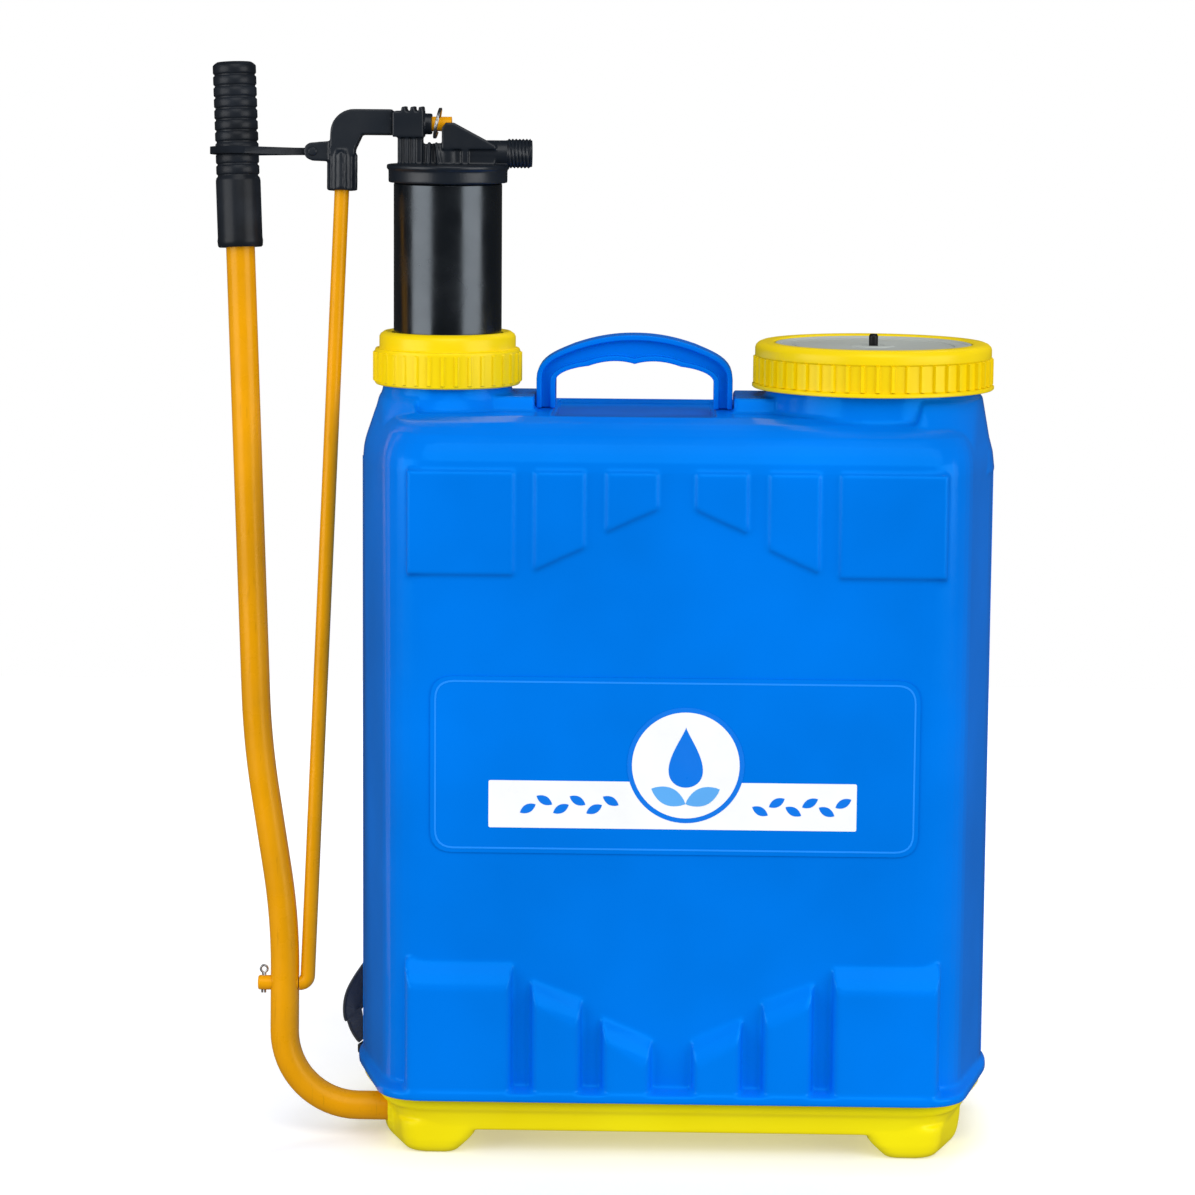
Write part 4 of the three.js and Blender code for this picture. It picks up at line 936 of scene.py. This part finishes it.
def lever_tube():
    corners = [LEVER_TOP, (*LEVER_KNEE, 32), (-245.2, 0, 118, 32), (-245.2, 0, 0, 47), (-133, 0, 0)]
    tube = swept("lever_bar", bent_line(corners, 16), circle(TUBE_RADIUS, 48), (1, 0, 0), LEVER_FRAME)
    bore = rod_along("crank_bore", 4.9, -260, -230, 0, CRANK, at=LEVER_FRAME)
    pin_bore = rod_along("pin_bore", 1.9, -12, 12, -139, 0, axis="Z", at=LEVER_FRAME)
    carved(tube, bore, pin_bore)
    dressed(shaded(tube, 50), "lever_paint", "lever", ["lever_tube"])


def grip_matrix():
    """The lever's frame leaned with its upper run, heights measured as on the lever."""
    slant = math.atan2(16.3, 421)
    height = Matrix.Translation((0, 0, -LEVER_TOP[2]))
    return LEVER_FRAME @ Matrix.Translation(LEVER_TOP) @ Matrix.Rotation(-slant, 4, "Y") @ height


def lever_grip():
    profile = [(9.3, 542), (13.2, 542), (14, 542.8), (14.3, 546), (14, 548), (14, 583.4), (13.6, 585.2)]
    pitch = (655.5 - 586) / 10
    for i in range(10):
        start = 586 + i * pitch
        profile += [(12.7, start + 0.25), (12.6, start + 1.1), (13.2, start + 1.5), (13.5, start + 2.1),
                    (13.5, start + pitch - 0.6), (13.2, start + pitch - 0.1)]
    profile += [(12.4, 656.2), (10.8, 657.3), (8, 657.5), (0, 657.5)]
    grip = lathe("grip_sleeve", profile, segments=72, at=grip_matrix())
    dressed(shaded(grip, 45), "grip_rubber", "lever", ["lever_grip"])


def cotter_path(reach, eye, apart):
    """A split pin's wire: up one leg, round the eye and down the other, in the XZ plane."""
    angles = [k * math.pi / 8 for k in range(1, 16)]
    path = [(apart, 0, -reach), (apart, 0, reach)]
    path += [(eye * math.sin(a), 0, reach + eye - eye * math.cos(a)) for a in angles]
    path += [(-apart, 0, reach), (-apart - 0.6, 0, -reach)]
    return [Vector(p) for p in path]


def small_lever_parts():
    profile = [(0, -262), (4, -262), (4.6, -261.2), (4.6, -236.6), (0, -236.6)]
    pin = lathe("crank_pin", profile, (0, 0, CRANK), "X", 40, at=LEVER_FRAME)
    dressed(shaded(pin), "lever_paint", "lever", ["link_pin"])
    profile = [(9.4, -145.6), (9.4, -144.2), (11.6, -144.2), (12, -144.6), (12, -145.2), (11.6, -145.6)]
    washer = lathe("lever_washer", profile, axis="X", segments=48, hollow=True, at=LEVER_FRAME)
    dressed(shaded(washer), "steel", "lever", ["shaft_washer"])
    for name, node, place, reach, radius in (
        ("crank_cotter", "link_split_pin", (-258.4, 0, CRANK), 6.5, 0.7),
        ("shaft_cotter", "shaft_split_pin", (-139, 0, 0), 10, 0.9),
    ):
        there = LEVER_FRAME @ Matrix.Translation(place)
        cotter = wire(name, cotter_path(reach, 2.2, radius * 0.9), radius, (0, 1, 0), there)
        dressed(cotter, "steel", "lever", [node])


def rod_line(steps):
    """The rod's middle line, from its head pin round the elbow down to its foot."""
    corners = [(-143.4, 0, 0), (-210.5, 0, 0, 12), (-230.9, 0, -ROD_LENGTH, 4.7), (-235.9, 0, -ROD_LENGTH)]
    return bent_line(corners, steps)


def link_rod():
    rod = swept("rod_bar", rod_line(12), circle(ROD_RADIUS, 32), (0, 1, 0), ROD_FRAME)
    carved(rod, block("cotter_slot", (-153.1, -2.6, -6), (-150.3, 1.4, 6), ROD_FRAME))
    dressed(shaded(rod, 50), "lever_paint", "rod", ["link_rod"])


def elbow_sleeve():
    bend = arc_points(-204, -6.4, 15, 90, 9, 11)
    outline = [(-180.2, 8.6), *bend, (-219.6, -20), (-204, -20), (-203.6, -16), (-199.4, -7), (-180.2, -7)]
    arm = plate("elbow_arm", outline, -7.4, 7.4, ROD_FRAME)
    profile = [(0, -42), (8.6, -42), (8.8, -41.5), (8.8, -20), (8.2, -17), (0, -17)]
    ribs = band_of_ribs(12, 1, -41.5, -19, 0.38, 0.62, 8)
    socket = lathe("elbow_socket", profile, (-211.9, 0, 0), segments=12 * 16, ripple=ribs, at=ROD_FRAME)
    tools = [socket]
    for side in (-1, 1):
        low, high = (-213, side * 8.6 - 1.4, -41), (-210.8, side * 8.6 + 1.4, -18)
        tools.append(block("elbow_rib", low, high, ROD_FRAME))
    end = arc_points(KEEPER_X, KEEPER_H, 5.6, 90, 15, 13)
    lug = plate("elbow_lug", [*end, (-216, -24), (-216, -11)], -4.9, 4.9, ROD_FRAME)
    carved(lug, block("lug_slot", (KEEPER_X - 8, -3.1, -26), (KEEPER_X + 7, 3.1, -8), ROD_FRAME))
    united(arm, *tools, lug)
    carved(arm, swept("elbow_bore", rod_line(8), circle(4.9, 24), (0, 1, 0), ROD_FRAME))
    moulded(arm, 0.7, 3)
    dressed(arm, "black_plastic", "rod", ["rod_elbow_sleeve"])


def ring_cotter():
    """A split ring of nearly two turns through the rod's end."""
    turns, radius, steps = 1.9, 9, 76
    path = []
    for k in range(steps + 1):
        angle = 2 * math.pi * turns * k / steps
        drift = (k / steps - 0.5) * 1.5
        height = radius * math.sin(angle)
        path.append(Vector((-151.7 + drift + 0.22 * height, -8.8 + radius * math.cos(angle), height)))
    ring = wire("cotter_ring", path, 0.62, (1, 0, 0), ROD_FRAME)
    dressed(ring, "steel", "rod", ["ring_cotter"])


def keeper():
    centre = (KEEPER_X, 0, KEEPER_H)
    half = [(0, 5.9), (2.2, 5.8), (2.9, 5.2), (2.9, 4.7), (1.8, 4.7)]
    profile = [(r, -h) for r, h in half] + half[::-1]
    pin = turned("keeper_rivet", profile, 0.2, centre=centre, axis="Y", segments=32, at=ROD_FRAME)
    dressed(shaded(pin), "black_plastic", "rod", ["keeper_pin"])
    grip_x, grip_y, inside, outside, spread = -277.7, -2.4, 14.4, 16.9, 1.13

    def arc(radius, count=40):
        angles = [spread + (2 * math.pi - 2 * spread) * k / count for k in range(count + 1)]
        return [(grip_x + radius * math.cos(a), grip_y + radius * math.sin(a)) for a in angles]

    def flat(outline, low, high):
        return [[(x, y, z) for x, y in outline] for z in (low, high)]

    neck = [(KEEPER_X - 2, 2.2), (KEEPER_X - 12, 3.4)]
    outline = [*neck, *arc(outside), *[(x, -y) for x, y in reversed(neck)]]
    band = loft("keeper_band", flat(outline, KEEPER_H - 2.2, KEEPER_H + 2.2), ROD_FRAME)
    hole = flat([(KEEPER_X - 15, 0), *arc(inside)], KEEPER_H - 5, KEEPER_H + 5)
    carved(band, loft("keeper_hole", hole, ROD_FRAME))
    united(band, rod_along("keeper_eye", 4.4, -2.2, 2.2, KEEPER_X, KEEPER_H, "Y", 40, ROD_FRAME))
    carved(band, rod_along("eye_hole", 2, -5, 5, KEEPER_X, KEEPER_H, "Y", 32, ROD_FRAME))
    bevelled(band, 0.5, 2)
    dressed(band, "grip_rubber", "keeper", ["keeper_loop"])


# ---- filler lid


def lid_ring():
    ribs = band_of_ribs(50, 2.3, 478.4, 494.6, 0.3, 0.52, 72.5)
    profile = [
        (62.4, 497.2), (68.4, 497.2), (68.4, 476.6), (69.2, 475.5), (75.4, 475.3), (76, 475.8), (76, 477.2),
        (75.4, 477.8), (73.6, 478.2), (73.2, 478.6), (73.2, 494.4), (73.6, 494.9), (74.2, 495.4), (74.3, 496.2),
        (74.3, 500), (73.8, 501.6), (72.2, 503.2), (70.2, 504), (66, 504), (63.4, 503.8), (62.4, 503),
    ]
    ring = lathe("lid_screw_ring", profile, centre=FILLER_AXIS, segments=50 * 16, hollow=True, ripple=ribs)
    dressed(shaded(ring, 32), "yellow_plastic", "lid_ring", ["lid_ring"])


def lid_disc():
    profile = [
        (2.3, 493.4), (67.8, 493.4), (67.8, 496.9), (61.9, 496.9), (61.9, 502.4), (61.2, 503), (59.8, 503),
        (59.2, 502.4), (58.9, 501.9), (51.4, 501.8), (51, 501), (49.6, 501), (49.2, 501.8), (14, 501.3),
        (13.4, 502), (7.4, 502), (6.8, 501.4), (3.4, 501.4), (3.4, 499.4), (2.3, 499.4),
    ]
    disc = lathe("lid_plate", profile, centre=FILLER_AXIS, segments=128, hollow=True)
    dressed(shaded(disc, 30), "grey_plastic", "lid", ["lid_disc"])
    profile = [(0, 491.6), (8, 491.6), (8, 492.4), (3, 493.1), (1.9, 493.1), (1.9, 501.3), (2.9, 501.4),
               (2.9, 507.6), (2.2, 509), (0, 509)]
    stem = turned("vent_stem", profile, 0.4, centre=FILLER_AXIS, segments=36)
    dressed(shaded(stem), "seal_rubber", "vent", ["vent_valve"])


# ---- straps

HOOKS = [(-1, 36), (1, 50)]  # which side, and how far back, each hook passes through the base's wall


def hook_frame(side, y):
    x = side * (SKIRT[0] - 28 * y / 89)
    turn = WALL_LEAN if side > 0 else math.pi - WALL_LEAN
    return Matrix.Translation((x, y, 0)) @ Matrix.Rotation(turn, 4, "Z")


def strap_hook(name, side, y):
    outline = [
        (-6.8, 16.2), (-3.7, 16.2), (-3.7, 20), (0.6, 20), (0.6, 14), (4.4, 14), (5.6, 23), (15, 32),
        (15, 37.4), (10.6, 37.4), (1.6, 28), (0.6, 23), (-6.8, 23),
    ]
    hook = plate(f"hook_{name}", outline, -11.5, 11.5, hook_frame(side, y))
    bevelled(hook, 0.8, 3)
    dressed(hook, "black_plastic", "root", [f"strap_hook_{name}"])


def mirrored(side, route):
    """A route drawn for the right side, with each point's outward direction, on either side."""
    return [(side * x, y, z, side * u, v, w) for x, y, z, u, v, w in route]


def strap_webbing(name, side, y):
    """From the hook's bar up the back of the tank and round the buckle's lower bar."""
    bar = hook_frame(side, y) @ Vector((13, 0, 40))
    out, bulge = side * bar.x, 8 if side < 0 else -0.5
    route = [
        (out, bar.y, bar.z, 1, 0.3, 0), (out + bulge, bar.y + 2, 51, 1, 0.3, 0),
        (out + (bulge + 1), bar.y + 8, 63, 1, 0.4, 0), (187, max(86, bar.y + 18), 86, 0.7, 0.8, 0),
        (155, 104, 110, 0.1, 1, 0), (136, 105.6, 136, 0, 1, 0), (128.6, 108.8, 145, 0, 1, 0),
        (126.7, 108.6, 149.4, -0.15, 0.9, 0.37), (125.4, 105, 152.3, -0.37, 0.3, 0.92),
    ]
    band = ribbon(f"webbing_{name}", mirrored(side, route))
    dressed(band, "webbing_fabric", "root", [f"strap_webbing_{name}"])


def strap_loop(name, side):
    """The band through the bracket's slot, over its bar and down to the pad."""
    route = [
        (44.6, 100.5, 404, 0, 1, 0), (44, 97.4, 420, 0, 1, 0), (44, 97, 430, 0, 1, 0), (44, 97.2, 446, 0, 1, 0),
        (44, 98.8, 453, 0, 0.4, 0.9), (44, 103.4, 455.4, 0, 0, 1), (44, 106.8, 452, 0, 0.9, 0.4),
        (44, 107.2, 440, 0, 1, 0), (44.3, 107.4, 420, 0, 1, 0), (45, 106.8, 404, 0, 1, 0),
    ]
    band = ribbon(f"loop_{name}", mirrored(side, route), 30)
    dressed(band, "webbing_fabric", "root", [f"strap_loop_{name}"])


PAD_LINE = [(45, 103, 413), (50, 110, 380), (64, 117, 320), (84, 118, 255), (104, 113, 205), (116, 106, 172)]


def pad_frames(side):
    """Points down the pad's middle with the directions across it and out of it."""
    curve = through([(side * x, y, z) for x, y, z in PAD_LINE], 8)
    frames = []
    for i, point in enumerate(curve):
        ahead = heading(curve, i)
        out = (Vector((0, 1, 0)) - ahead * ahead.y).normalized()
        frames.append((point, ahead.cross(out), out))
    return frames


def narrowing(index, count):
    """The share of its full width that the pad has at one of its frames."""
    return min(1, 0.78 + 0.9 * math.sin(math.pi * (index / (count - 1))))


def pad_shape(name, side, half_width, half_depth):
    """An oval section carried down the pad's line, narrowing at both ends."""
    frames = pad_frames(side)
    rings = []
    for i, (point, across, out) in enumerate(frames):
        narrow = narrowing(i, len(frames))
        ring = []
        for k in range(28):
            a = 2 * math.pi * k / 28
            u = math.copysign(abs(math.cos(a)) ** 0.45, math.cos(a)) * half_width * narrow
            v = math.copysign(abs(math.sin(a)) ** 0.7, math.sin(a)) * half_depth
            ring.append(point + across * u + out * v)
        rings.append(ring)
    return loft(name, rings)


def inflated(made, most):
    """Fills the pad with air for a moment, then lets each point swell outwards by `most` at the most."""
    last_frame = 20
    modified(made, "REMESH", mode="VOXEL", voxel_size=4 * MM)
    modified(made, "SMOOTH", factor=0.5, iterations=3)
    rest = [v.co.copy() for v in made.data.vertices]
    cloth = made.modifiers.new("cloth", "CLOTH")
    cloth.settings.quality = 6
    cloth.settings.mass = 0.3
    cloth.settings.use_pressure = True
    cloth.settings.uniform_pressure_force = 4
    cloth.settings.effector_weights.gravity = 0
    cloth.point_cache.frame_start, cloth.point_cache.frame_end = 1, last_frame
    scene = bpy.context.scene
    for number in range(1, last_frame + 1):
        scene.frame_set(number)
    graph = bpy.context.evaluated_depsgraph_get()
    swollen = [v.co.copy() for v in made.evaluated_get(graph).data.vertices]
    made.modifiers.clear()
    scene.frame_set(1)
    for vertex, before, after in zip(made.data.vertices, rest, swollen):
        vertex.co = before + Vector((0, min(most * MM, max(-most * MM, after.y - before.y)), 0))
    return modified(made, "SUBSURF", levels=1)


def quilted(made, side):
    """Presses sewn channels across and along the pad, on both faces."""
    frames = [(p * MM + ORIGIN, across, out) for p, across, out in pad_frames(side)]
    count = len(frames)
    spacing, seam_every, sharpness = 6.4, 8, 1.6
    seam_from_middle, seam_width, seam_depth = 22.5, 1.6, 2.2
    for vertex in made.data.vertices:
        index = min(range(count), key=lambda i: (frames[i][0] - vertex.co).length_squared)
        point, across, out = frames[index]
        here = vertex.co - point
        u, v = here.dot(across) / MM, here.dot(out) / MM
        ahead = out.cross(across)
        run = index + here.dot(ahead) / MM / spacing
        half = seam_every / 2
        from_seam = (run + half) % seam_every - half
        across_seam = math.exp(-from_seam**2 * sharpness) if 4 < index < count - 5 else 0
        edge_seam = math.exp(-((abs(u) - seam_from_middle) / seam_width) ** 2)
        depth = seam_depth * max(across_seam * (abs(u) < 22), edge_seam)
        vertex.co -= out * math.copysign(depth * MM, v)
    return made


def shoulder_pad(name, side):
    pad = pad_shape(f"pad_{name}", side, 27, 5)
    inflated(pad, 3)
    quilted(pad, side)
    pad.data.shade_smooth()
    dressed(pad, "pad_fabric", "root", [f"shoulder_pad_{name}"])
    edging(name, side)


def edging(name, side):
    """The bound edge sewn round the pad, down one side, across the end and back up the other."""
    frames = pad_frames(side)
    edges = []
    for direction in (-1, 1):
        edge = []
        for i, (point, across, _) in enumerate(frames):
            edge.append(point + across * direction * 25.6 * narrowing(i, len(frames)))
        edges.append(edge)
    corners = edges[0] + edges[1][::-1] + edges[0][:1]
    path = through(eased([tuple(p) for p in corners[::4]], 5, 3), 3)
    band = swept(f"pad_binding_{name}", path, circle(2.3, 12), (0, 1, 0))
    dressed(shaded(band, 60), "binding", "root")


def pad_tab(name, side):
    """The short doubled band that holds the buckle's top bar at the pad's lower end."""
    route = [(113, 108.4, 182, 0, 1, 0), (117, 108.8, 172.4, 0, 1, 0), (119.3, 108.2, 166.9, 0.15, 0.9, -0.37),
             (120.1, 105, 164.9, 0.37, 0.3, -0.92)]
    dressed(ribbon(f"pad_tab_{name}", mirrored(side, route)), "webbing_fabric", "root")


def buckle(name, side):
    start, end = Vector((side * 118, 105, 170)), Vector((side * 128, 105, 146))
    down = (end - start).normalized()
    across = down.cross(Vector((0, 1, 0)))
    rows = [(across[i], 1 if i == 1 else 0, -down[i], start[i]) for i in range(3)]
    place = Matrix((*rows, (0, 0, 0, 1)))
    length = (end - start).length
    outline = [(p.x, p.y) for p in eased([(-19, 0, 0), (19, 0, 0), (17, -length, 0), (-17, -length, 0)], 4)]
    body = plate(f"ladder_buckle_{name}", outline, -2.2, 2.2, place)
    for k, top in enumerate((-4, -14.5)):
        carved(body, block(f"slot_{name}_{k}", (-14.5, -4, top - 6.5), (14.5, 4, top), place))
    bevelled(body, 0.7, 2)
    dressed(body, "black_plastic", "root", [f"strap_buckle_{name}"])


def strap_bracket():
    back, level, screw_x = 92.3, 437, 11
    body = plate("strap_bar", rounded_rectangle(-78, 78, level - 8, level + 8, 3), back, back + 10)
    for side in (-1, 1):
        slot_x = side * 44
        carved(body, block(f"bar_slot_{side}", (slot_x - 17, back + 3, 420), (slot_x + 17, back + 6.4, 450)))
        carved(body, rod_along(f"bar_hole_{side}", 2.6, 80, 110, side * screw_x, level, axis="Y"))
    bevelled(body, 1, 3)
    dressed(body, "black_plastic", "root", ["strap_bracket"])
    profile = [(0, 84), (2, 84.5), (2, back + 10.3), (4.2, back + 10.3), (4.2, back + 11.4),
               (3.2, back + 12.6), (0, back + 13)]
    for name, side in SIDES:
        x = side * screw_x
        head = turned(f"bracket_screw_head_{name}", profile, 0.5, centre=(x, 0, level), axis="Y", segments=36)
        for w, h in ((0.5, 2.2), (2.2, 0.5)):
            carved(head, block("cross", (x - w, back + 11.4, level - h), (x + w, back + 15, level + h)))
        dressed(shaded(head), "steel", "root", [f"bracket_screw_{name}"])


# ---- CAD nodes kept as they are


def dress_kept_nodes():
    """Inner pieces keep their CAD shape and take a full material."""
    slots = {part["node"]: part["material_slot"] for part in frame["record"]["subparts"]}
    for name, node in frame["nodes"].items():
        if node.hide_render:
            continue
        painted(node, slots[name])
        shaded(node)


# ---- floor, light, camera


def floor():
    """A white floor that camera rays see as bright as the surroundings, left out of bounced light."""
    look = Look("studio floor")
    drift = look.ranged(look.noise(3, 3), 0, 1)
    look.colour(look.mixed(drift, linear((243, 244, 246)), linear((247, 248, 249))))
    look.roughness(0.5, 0.62, 20, 3)
    look.normal(look.bump(look.noise(300, 2), 0.02, 0.2))
    look.set(Emission_Color=(1, 1, 1, 1), Emission_Strength=0.26)
    mesh = bpy.data.meshes.new("studio_floor")
    half, near, far = 2.4, -2, 1.6
    mesh.from_pydata([(-half, near, 0), (half, near, 0), (half, far, 0), (-half, far, 0)], [], [(0, 1, 2, 3)])
    mesh.materials.append(look.material)
    made = linked("studio_floor", mesh)
    made.visible_diffuse = made.visible_glossy = False


def soft_light(name, place, target, size, power):
    data = bpy.data.lights.new(name, "AREA")
    data.shape, data.size, data.size_y, data.energy = "RECTANGLE", size[0], size[1], power
    light = linked(name, data)
    light.location = place
    light.rotation_mode = "QUATERNION"
    light.rotation_quaternion = (Vector(target) - Vector(place)).to_track_quat("-Z", "Y")
    return light


def surroundings():
    """An even studio: white to the camera, about half as bright as a light, and dark in reflections."""
    world = bpy.data.worlds.new("studio")
    world.use_nodes = True
    tree = world.node_tree
    tree.nodes["Background"].inputs["Color"].default_value = (1, 1, 1, 1)
    path = tree.nodes.new("ShaderNodeLightPath")
    in_reflections, as_light, to_camera = 0.04, 0.45, 0.96
    target = tree.nodes["Background"].inputs["Strength"]
    for output, share in (("Is Camera Ray", to_camera), ("Is Diffuse Ray", as_light)):
        added = tree.nodes.new("ShaderNodeMath")
        added.operation = "MULTIPLY_ADD"
        tree.links.new(path.outputs[output], added.inputs[0])
        added.inputs[1].default_value = share
        tree.links.new(added.outputs[0], target)
        target = added.inputs[2]
    target.default_value = in_reflections
    bpy.context.scene.world = world


def sky_light():
    """A broad even light from above and in front, the same over the whole floor."""
    data = bpy.data.lights.new("sky", "SUN")
    data.energy, data.angle = 0.98, math.radians(50)
    tilt, swing = 44, 12
    linked("sky", data).rotation_euler = (math.radians(tilt), 0, math.radians(swing))


def lights():
    """The sky, a softbox at each side for the slanted walls, and a weaker light behind; metres and watts."""
    aim = (0, 0, 0.32)
    sky_light()
    for name, side in SIDES:
        soft_light(f"softbox_{name}", (side * 1.95, -1.35, 0.8), aim, (1.9, 1.5), 25)
    soft_light("back", (0.4, 1.5, 2.1), aim, (1.4, 1.0), 22).visible_glossy = False


CAMERA_PLACE = (0, -2260, 682)  # eye level with the top of the lever
CAMERA_AIM = (-48.3, -92, 401.2)
CAMERA_ROLL = math.radians(0.43)


def camera():
    data = bpy.data.cameras.new("camera")
    data.lens, data.sensor_width, data.shift_y = 108.3, 36, -0.065
    made = linked("camera", data)
    place = Vector(CAMERA_PLACE) * MM + ORIGIN
    aim = Vector(CAMERA_AIM) * MM + ORIGIN
    made.location = place
    made.rotation_mode = "QUATERNION"
    made.rotation_quaternion = (aim - place).to_track_quat("-Z", "Y") @ Quaternion((0, 0, 1), CAMERA_ROLL)
    bpy.context.scene.camera = made
    bpy.context.scene.view_settings.view_transform = "Standard"


# ---- the whole scene

camera()
floor()
surroundings()
lights()
tank()
parting_line()
neck_thread("pump_neck_thread", PUMP_X, 40.3, 477, 484, 1.1)
neck_thread("filler_neck_thread", FILLER_X, 66.8, 475.5, 486.5, 1.2)
carry_handle()
platform_cover()
front_label()
base()
collar_nut()
air_chamber()
chamber_head()
outlet_thread()
lever_tube()
lever_grip()
small_lever_parts()
link_rod()
elbow_sleeve()
ring_cotter()
keeper()
lid_ring()
lid_disc()
strap_bracket()
for side_name, (side_sign, hook_y) in zip(("left", "right"), HOOKS):
    strap_hook(side_name, side_sign, hook_y)
    strap_webbing(side_name, side_sign, hook_y)
    strap_loop(side_name, side_sign)
    shoulder_pad(side_name, side_sign)
    buckle(side_name, side_sign)
    pad_tab(side_name, side_sign)
dress_kept_nodes()
